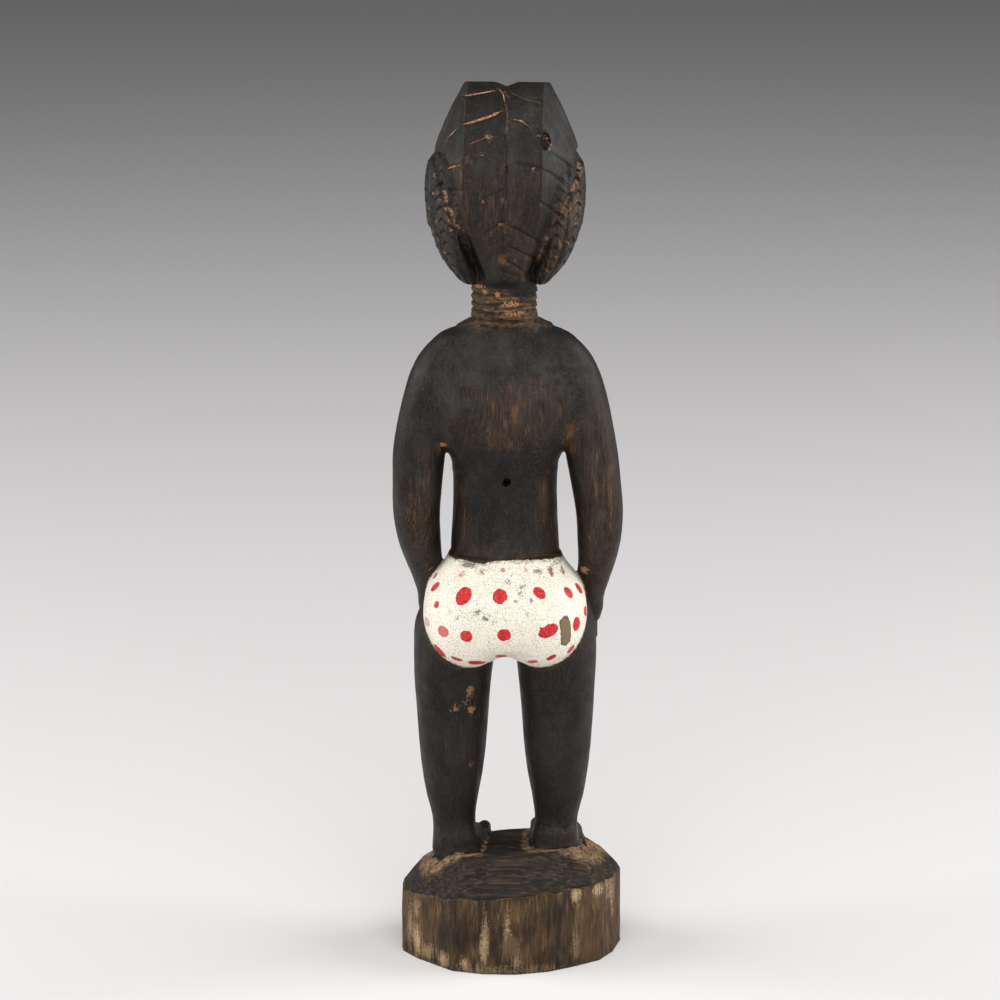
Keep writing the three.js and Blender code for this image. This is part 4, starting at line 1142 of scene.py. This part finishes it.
class Recipe:
    """Builds a material's nodes; each call makes one node and returns its output."""

    def __init__(self, name):
        self.material = bpy.data.materials.new(name)
        self.material.use_nodes = True
        self.tree = self.material.node_tree
        self.tree.nodes.clear()

    def node(self, kind, inputs, output=0, **settings):
        made = self.tree.nodes.new(kind)
        for key, value in settings.items():
            setattr(made, key, value)
        for key, value in inputs.items():
            if isinstance(value, bpy.types.NodeSocket):
                self.tree.links.new(value, made.inputs[key])
            else:
                made.inputs[key].default_value = value
        return None if output is None else made.outputs[output]

    def stored(self, name):
        return self.node("ShaderNodeAttribute", {}, "Fac", attribute_name=name)

    def maths(self, operation, a, b=0.0):
        return self.node("ShaderNodeMath", {0: a, 1: b}, operation=operation)

    def rise(self, value, low, high, start=0.0, end=1.0):
        inputs = {"Value": value, "From Min": low, "From Max": high, "To Min": start, "To Max": end}
        return self.node("ShaderNodeMapRange", inputs, "Result", interpolation_type="SMOOTHSTEP")

    def mix(self, share, a, b):
        """Goes from a to b by a share from 0 to 1; each may be a plain colour of three values up to 255."""
        a, b = (colour(*value) if isinstance(value, tuple) else value for value in (a, b))
        return self.node("ShaderNodeMix", {0: share, 6: a, 7: b}, 2, data_type="RGBA", clamp_factor=True)

    def millimetres(self, squeeze):
        """The object's own coordinates in millimetres, squeezed in z or in all three to draw patterns out."""
        place = self.node("ShaderNodeTexCoord", {}, "Object")
        axes = squeeze if isinstance(squeeze, tuple) else (1, 1, squeeze)
        scale = [1 / MM * share for share in axes]
        return self.node("ShaderNodeVectorMath", {0: place, 1: scale}, operation="MULTIPLY")

    def grain(self, size, seed, squeeze=1, detail=3, place=None):
        """Noise from 0 to 1 with features of about that size in millimetres."""
        place = place or self.millimetres(squeeze)
        shift = (seed * 31, seed * 17, seed * 23)
        shifted = self.node("ShaderNodeVectorMath", {0: place, 1: shift}, operation="ADD")
        inputs = {"Vector": shifted, "Scale": 1 / size, "Detail": detail, "Roughness": 0.55}
        return self.node("ShaderNodeTexNoise", inputs)

    def fibres(self, size, seed):
        """Noise drawn out along the grain of the trunk that the figure is cut from."""
        place = self.millimetres(FIBRE_SQUEEZE)
        parts = {axis: self.node("ShaderNodeSeparateXYZ", {0: place}, axis) for axis in "YZ"}
        parts["X"] = self.stored("grain_x")
        return self.grain(size, seed, detail=4, place=self.node("ShaderNodeCombineXYZ", parts))

    def product(self, *values):
        return functools.reduce(functools.partial(self.maths, "MULTIPLY"), values)

    def total(self, *values):
        return functools.reduce(functools.partial(self.maths, "ADD"), values)

    def wander(self, size, reach, seed):
        """A ragged shift of an outline, seldom over that many millimetres either way."""
        return self.product(self.maths("SUBTRACT", self.grain(size, seed), 0.5), reach * 5)

    def finish(self, inputs):
        shader = self.node("ShaderNodeBsdfPrincipled", inputs)
        self.node("ShaderNodeOutputMaterial", {"Surface": shader}, None)
        return self.material


def colour(red, green, blue):
    """A colour from its 0 to 255 values as seen on a screen."""
    def linear(value):
        share = value / 255
        return share / 12.92 if share <= 0.04045 else ((share + 0.055) / 1.055) ** 2.4

    return (linear(red), linear(green), linear(blue), 1.0)


def stained_wood(r, fibres):
    """Wood stained black, brown along its fibres where it is worn, with dust in patches, grey patches of dust
    and painted sheen, and near black in places: painted shade in grooves and between parts, and darker patches
    elsewhere.
    """
    patches = r.grain(13, seed=2, squeeze=0.5)
    black = r.mix(r.rise(r.grain(7, seed=3, squeeze=0.5), 0.35, 0.65), (16, 14, 12), (32, 27, 23))
    tinted = r.mix(r.product(r.stored("brown"), 0.8), black, (48, 34, 23))
    tinted = r.mix(r.rise(fibres, 0.36, 0.5, 0.7, 0.0), tinted, (11, 10, 9))
    mottle = r.grain(0.8, seed=43, squeeze=0.45, detail=2)
    tinted = r.mix(r.rise(mottle, 0.32, 0.5, 0.6, 0.0), tinted, (9, 8, 7))
    tinted = r.mix(r.rise(mottle, 0.5, 0.72, 0.0, 0.3), tinted, (68, 58, 48))
    shown = r.total(fibres, r.product(r.stored("brown"), 0.2), r.product(patches, 0.2))
    brown = r.mix(r.rise(r.grain(3, seed=4, squeeze=0.3), 0.4, 0.65), (56, 40, 29), (98, 68, 44))
    wood = r.mix(r.product(r.rise(shown, 0.66, 0.86), 0.85), tinted, brown)
    scratches = r.rise(r.grain(0.7, seed=5, squeeze=(0.06, 1, 1.2)), 0.54, 0.68)
    scratches = r.product(scratches, r.rise(r.stored("near_black"), 0.3, 0.1))
    wood = r.mix(r.product(scratches, r.rise(patches, 0.35, 0.6), 0.35), wood, (72, 60, 48))
    # grey dust with a painted sheen, in broad patches and where GREYED lists them
    dust_and_sheen = r.rise(r.grain(11, seed=44, squeeze=0.6), 0.45, 0.68)
    greyed = r.product(r.stored("greyed"), r.rise(r.grain(5, seed=46), 0.3, 0.62))
    wood = r.mix(r.total(r.product(dust_and_sheen, 0.2), r.product(greyed, 0.5)), wood, (66, 64, 61))
    dust = r.product(r.rise(r.grain(0.5, seed=6, detail=1), 0.68, 0.76), r.rise(patches, 0.42, 0.62))
    wood = r.mix(r.product(dust, 0.35), wood, (140, 124, 100))
    # near black: painted shade in grooves and between parts, and darker patches elsewhere
    darkest = r.product(r.stored("near_black"), r.rise(r.grain(3, seed=7), 0.2, 0.55))
    return r.mix(r.product(darkest, 0.85), wood, (19, 18, 17))


def log_side(r):
    """The adzed side of the base: brown with fine streaks, and buff where it was chipped bare."""
    fine = r.grain(0.9, seed=8, squeeze=0.1, detail=4)
    broad = r.grain(6, seed=9, squeeze=0.4, detail=3)
    tone = r.total(r.product(fine, 0.4), r.product(broad, 0.6))
    log = r.mix(r.rise(tone, 0.38, 0.7), (38, 29, 20), (89, 67, 43))
    log = r.mix(r.product(r.stored("brown"), 0.35), log, (118, 90, 62))
    stains = r.rise(r.grain(2.4, seed=41, squeeze=0.25, detail=4), 0.48, 0.68, 0, 0.65)
    log = r.mix(stains, log, (36, 28, 21))
    streaks = r.product(r.maths("SUBTRACT", fine, 0.5), 3.5)
    ragged = r.total(r.stored("buff_depth"), r.wander(1.1, 1.0, 10), streaks)
    share = r.product(r.rise(ragged, -1.2, 1.8), r.stored("buff_strength"), 0.85)
    stray = r.product(r.rise(fine, 0.56, 0.76), r.rise(broad, 0.48, 0.64), 0.35)
    buff = r.mix(r.grain(1.6, seed=11, squeeze=0.3), (132, 104, 74), (206, 178, 138))
    return r.mix(r.maths("MAXIMUM", share, stray), log, buff)


def log_top(r):
    """The top of the base: dark, with gouge marks across it, a ring of pale wood round each foot, and painted
    shade right against each foot.
    """
    gouges = r.grain(1.2, seed=12, squeeze=(0.05, 0.6, 1), detail=4)
    patches = r.grain(9, seed=13, squeeze=(0.5, 1, 1), detail=3)
    top = r.mix(r.rise(gouges, 0.4, 0.66), (25, 22, 19), (62, 49, 38))
    top = r.mix(r.product(r.rise(patches, 0.42, 0.62), 0.5), top, (34, 31, 28))
    glint = r.rise(r.grain(0.8, seed=14, squeeze=(0.04, 0.6, 1), detail=4), 0.58, 0.7)
    top = r.mix(r.product(glint, 0.35), top, (124, 102, 80))
    feet = r.total(r.stored("feet"), r.wander(4, 1.5, 15))
    ring = r.product(r.rise(feet, 0.8, 1.7), r.rise(feet, 9.0, 5.0))
    ring = r.product(ring, r.rise(r.grain(4, seed=16), 0.28, 0.56, 0.35, 0.85))
    gold = r.mix(r.rise(r.grain(0.9, seed=17, squeeze=(0.3, 1, 1)), 0.35, 0.65), (80, 62, 45), (160, 130, 94))
    top = r.mix(ring, top, gold)
    # painted shade: near black where each foot meets the base
    return r.mix(r.rise(feet, 1.2, 0.4), top, (14, 11, 9))


def neck_wood(r):
    """The ringed neck: dusty brown ridges."""
    marks = r.product(r.grain(0.9, seed=18, squeeze=(0.3, 0.3, 1.2), detail=4), 0.7)
    tone = r.total(marks, r.product(r.grain(4, seed=19), 0.3))
    return r.mix(r.rise(tone, 0.36, 0.64), (31, 23, 17), (82, 62, 43))


def painted_cloth(r, ragged):
    """Crackled cream paint with red dots, scuffs and a bare patch."""
    cream = r.mix(r.grain(9, seed=20), (240, 235, 221), (226, 218, 200))
    specks = r.rise(r.grain(0.6, seed=21, detail=2), 0.51, 0.63)
    cream = r.mix(r.product(specks, r.rise(r.grain(6, seed=22), 0.25, 0.6, 0.3, 0.7)), cream, (142, 137, 118))
    pits = r.rise(r.grain(0.75, seed=23, detail=1), 0.71, 0.76)
    cream = r.mix(r.product(pits, 0.6), cream, (90, 82, 66))
    grime = r.stored("grime")
    scuff = r.total(grime, r.product(r.maths("SUBTRACT", r.grain(0.8, seed=24), 0.5), 1.8))
    cream = r.mix(r.product(r.rise(scuff, 0.15, 0.65), r.rise(grime, 0.03, 0.3), 0.9), cream, (104, 96, 80))
    into_dot = r.total(r.stored("dot_depth"), r.product(ragged, 0.22))
    red = r.mix(r.rise(r.grain(1.3, seed=25), 0.35, 0.65), (168, 14, 24), (206, 40, 42))
    red = r.mix(r.rise(into_dot, 0.7, 0.0, 0.0, 0.55), red, (140, 16, 28))
    red = r.mix(r.product(specks, 0.4), red, (214, 120, 112))
    dot = r.rise(into_dot, -0.12, 0.14)
    paint = r.mix(r.product(dot, r.rise(r.stored("dot_strength"), 0.1, 0.85, 0.25, 1.0)), cream, red)
    into_bare = r.total(r.stored("bare_depth"), r.product(ragged, 0.4))
    bare = r.rise(into_bare, -0.1, 0.12)
    wood = r.mix(r.fibres(1.5, 26), (92, 76, 56), (142, 120, 92))
    rim = r.rise(into_bare, 0.75, 0.25)
    wood = r.mix(r.product(rim, 0.6), wood, (70, 54, 40))
    return r.mix(bare, paint, wood)


def shaded_hollows_and_pale_edges(r, wood):
    """Painted shade in the hollows, and raised edges painted pale: worn wood, with a painted highlight along
    the base's rim.
    """
    hollow = r.stored("hollow")
    # painted shade: the deeper the hollow, the darker the wood
    wood = r.mix(r.product(r.rise(hollow, 0.015, 0.1), 0.8), wood, (20, 16, 13))
    pale_edges = r.rise(r.total(r.stored("pale_edges"), r.product(r.grain(1.6, seed=28), 1.6)), 1.0, 2.0)
    # pale raised edges: worn wood, and a painted highlight along the base's rim
    edge = r.product(r.rise(hollow, -0.02, -0.1), pale_edges, 0.6)
    return r.mix(edge, wood, r.mix(r.grain(2, seed=42), (112, 84, 56), (172, 140, 104)))


def bare_marks(r, wood, line):
    """Knife cuts, pale where they show the wood itself and near black with painted shade where they do not,
    then worn edges and chips, which show the wood itself.
    """
    cut_wood = r.mix(r.rise(r.grain(1.4, seed=30), 0.4, 0.6), (186, 134, 102), (134, 84, 58))
    # a cut with little pale wood is painted near black: painted shade in the groove
    cut_wood_and_shade = r.mix(r.rise(r.stored("line_tone"), 0.12, 0.65), (13, 10, 8), cut_wood)
    broken = r.rise(r.grain(1.8, seed=31), 0.3, 0.5, 0.3, 1.0)
    wood = r.mix(r.product(line, broken), wood, cut_wood_and_shade)
    pale = r.mix(r.rise(r.grain(1.8, seed=32), 0.38, 0.62), (196, 160, 128), (128, 84, 54))
    wood = r.mix(r.product(r.stored("worn"), r.rise(r.grain(1.1, seed=33), 0.36, 0.54)), wood, pale)
    chip = r.rise(r.total(r.stored("chip_depth"), r.wander(1.0, 0.9, 34)), -0.2, 0.5)
    chip_wood = r.mix(r.grain(0.8, seed=35), (122, 72, 40), (200, 150, 104))
    return r.mix(r.product(chip, r.stored("chip_strength"), 0.9), wood, chip_wood)


def painted(r, wood):
    """The wood with the shorts painted over it and a dirty line round them, and where they are."""
    ragged = r.total(r.wander(1.8, 0.7, 36), r.wander(0.6, 0.35, 37))
    into_paint = r.total(r.stored("paint_depth"), r.product(ragged, 0.35))
    dirty = r.product(r.rise(into_paint, -2.2, -0.3), r.rise(r.grain(3, seed=38), 0.35, 0.6), 0.6)
    wood = r.mix(dirty, wood, (66, 50, 32))
    share = r.rise(into_paint, 0.0, 0.22)
    soiled = r.product(r.rise(into_paint, 1.6, 0.5), r.rise(r.grain(1.2, seed=45), 0.36, 0.58), 0.7)
    return r.mix(share, wood, r.mix(soiled, painted_cloth(r, ragged), (96, 78, 52))), share


def fine_relief(r, fine, line):
    """Relief finer than the mesh: fibres, pores, the knife cuts and the edges of the dots."""
    height = r.total(r.product(fine, 0.7), r.product(r.grain(0.6, seed=39), 0.3), r.product(line, -0.6))
    height = r.total(height, r.product(r.rise(r.stored("dot_depth"), -0.15, 0.15), 0.25))
    return r.node("ShaderNodeBump", {"Strength": 0.45, "Distance": 0.3 * MM, "Height": height}, "Normal")


def dullness(r, paint_share):
    """How rough the surface is: most on the base and the neck, even on the paint."""
    rough = r.rise(r.grain(6, seed=40), 0.3, 0.75, 0.44, 0.62)
    raw = r.total(r.stored("base_side"), r.stored("base_top"), r.stored("neck"))
    rough = r.total(rough, r.product(raw, 0.2))
    return r.node("ShaderNodeMix", {0: paint_share, 2: rough, 3: 0.5}, data_type="FLOAT")


def carved_wood():
    """The one material of the whole figure."""
    r = Recipe("carved_wood")
    fine, broad = r.fibres(0.6, 1), r.fibres(1.8, 27)
    wood = stained_wood(r, r.total(r.product(fine, 0.6), r.product(broad, 0.35)))
    wood = r.mix(r.stored("base_side"), wood, log_side(r))
    wood = r.mix(r.stored("base_top"), wood, log_top(r))
    wood = r.mix(r.product(r.stored("neck"), r.rise(r.stored("near_black"), 0.7, 0.2)), wood, neck_wood(r))
    lean = r.total(r.stored("line_across"), r.wander(0.9, 0.35, 29))
    line = r.product(r.rise(r.maths("ABSOLUTE", lean), 1.2, 0.4), r.stored("line_near"))
    surface, paint_share = painted(r, bare_marks(r, shaded_hollows_and_pale_edges(r, wood), line))
    rough, bump = dullness(r, paint_share), fine_relief(r, fine, line)
    return r.finish({"Base Color": surface, "Roughness": rough, "Normal": bump, "Specular IOR Level": GLOSS})


# Each light: name, place in metres, size, power
LIGHTS = [
    ("key", (-2.2, -0.1, 1.1), 2.0, 52),
    ("fill", (2.2, -0.1, 1.1), 2.0, 46),
    ("front", (0, 3.6, 1.4), 2.5, 64),
    ("overhead", (0, 0.8, 1.5), 1.6, 14),
]
LIT_HEIGHT = 0.18
SKY, SKY_STRENGTH = (0.92, 0.95, 1, 1), 0.09
PAPER, FLOOR_REACH = (234, 231, 230), 14
# The photograph's frame and the lens and place that its perspective was measured to fit
PHOTO_PIXELS, FOCAL_PIXELS, SENSOR = 1000, 4872, 36
ELEVATION, DISTANCE, TARGET = 11.5, 2.2, (0.005, 0, 0.2097)


def aim(thing, target):
    thing.rotation_euler = (target - thing.location).to_track_quat("-Z", "Y").to_euler()


def floor_and_light():
    mesh = bpy.data.meshes.new("floor")
    corners = [(i * FLOOR_REACH, j * FLOOR_REACH, 0) for i, j in ((-1, -1), (1, -1), (1, 1), (-1, 1))]
    mesh.from_pydata(corners, [], [(0, 1, 2, 3)])
    paper = Recipe("studio_paper")
    mesh.materials.append(paper.finish({"Base Color": colour(*PAPER), "Roughness": 0.9}))
    floor = added("floor", mesh)

    world = bpy.data.worlds.new("studio")
    bpy.context.scene.world = world
    world.use_nodes = True
    background = world.node_tree.nodes["Background"]
    background.inputs["Color"].default_value = SKY
    background.inputs["Strength"].default_value = SKY_STRENGTH
    bpy.context.scene.view_settings.view_transform = "Standard"
    for name, place, size, power in LIGHTS:
        light = bpy.data.lights.new(name, "AREA")
        light.size = size
        light.energy = power
        lamp = added(name, light)
        lamp.location = place
        aim(lamp, Vector((0, 0, LIT_HEIGHT)))


def photograph_camera():
    """The photograph looks at the back from a little above."""
    elevation, target = math.radians(ELEVATION), Vector(TARGET)
    camera = bpy.data.cameras.new("camera")
    camera.sensor_width = SENSOR
    camera.lens = FOCAL_PIXELS / PHOTO_PIXELS * SENSOR
    eye = added("camera", camera)
    eye.location = target + DISTANCE * Vector((0, math.cos(elevation), math.sin(elevation)))
    aim(eye, target)
    bpy.context.scene.camera = eye


photograph_camera()
floor_and_light()
carving_mesh = carve()
measure(carving_mesh)
carving_mesh.materials.clear()
carving_mesh.materials.append(carved_wood())
carving_mesh.polygons.foreach_set("use_smooth", [True] * len(carving_mesh.polygons))
carving = added("figure_carving", carving_mesh)
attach(carving, "root")
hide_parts("figure")
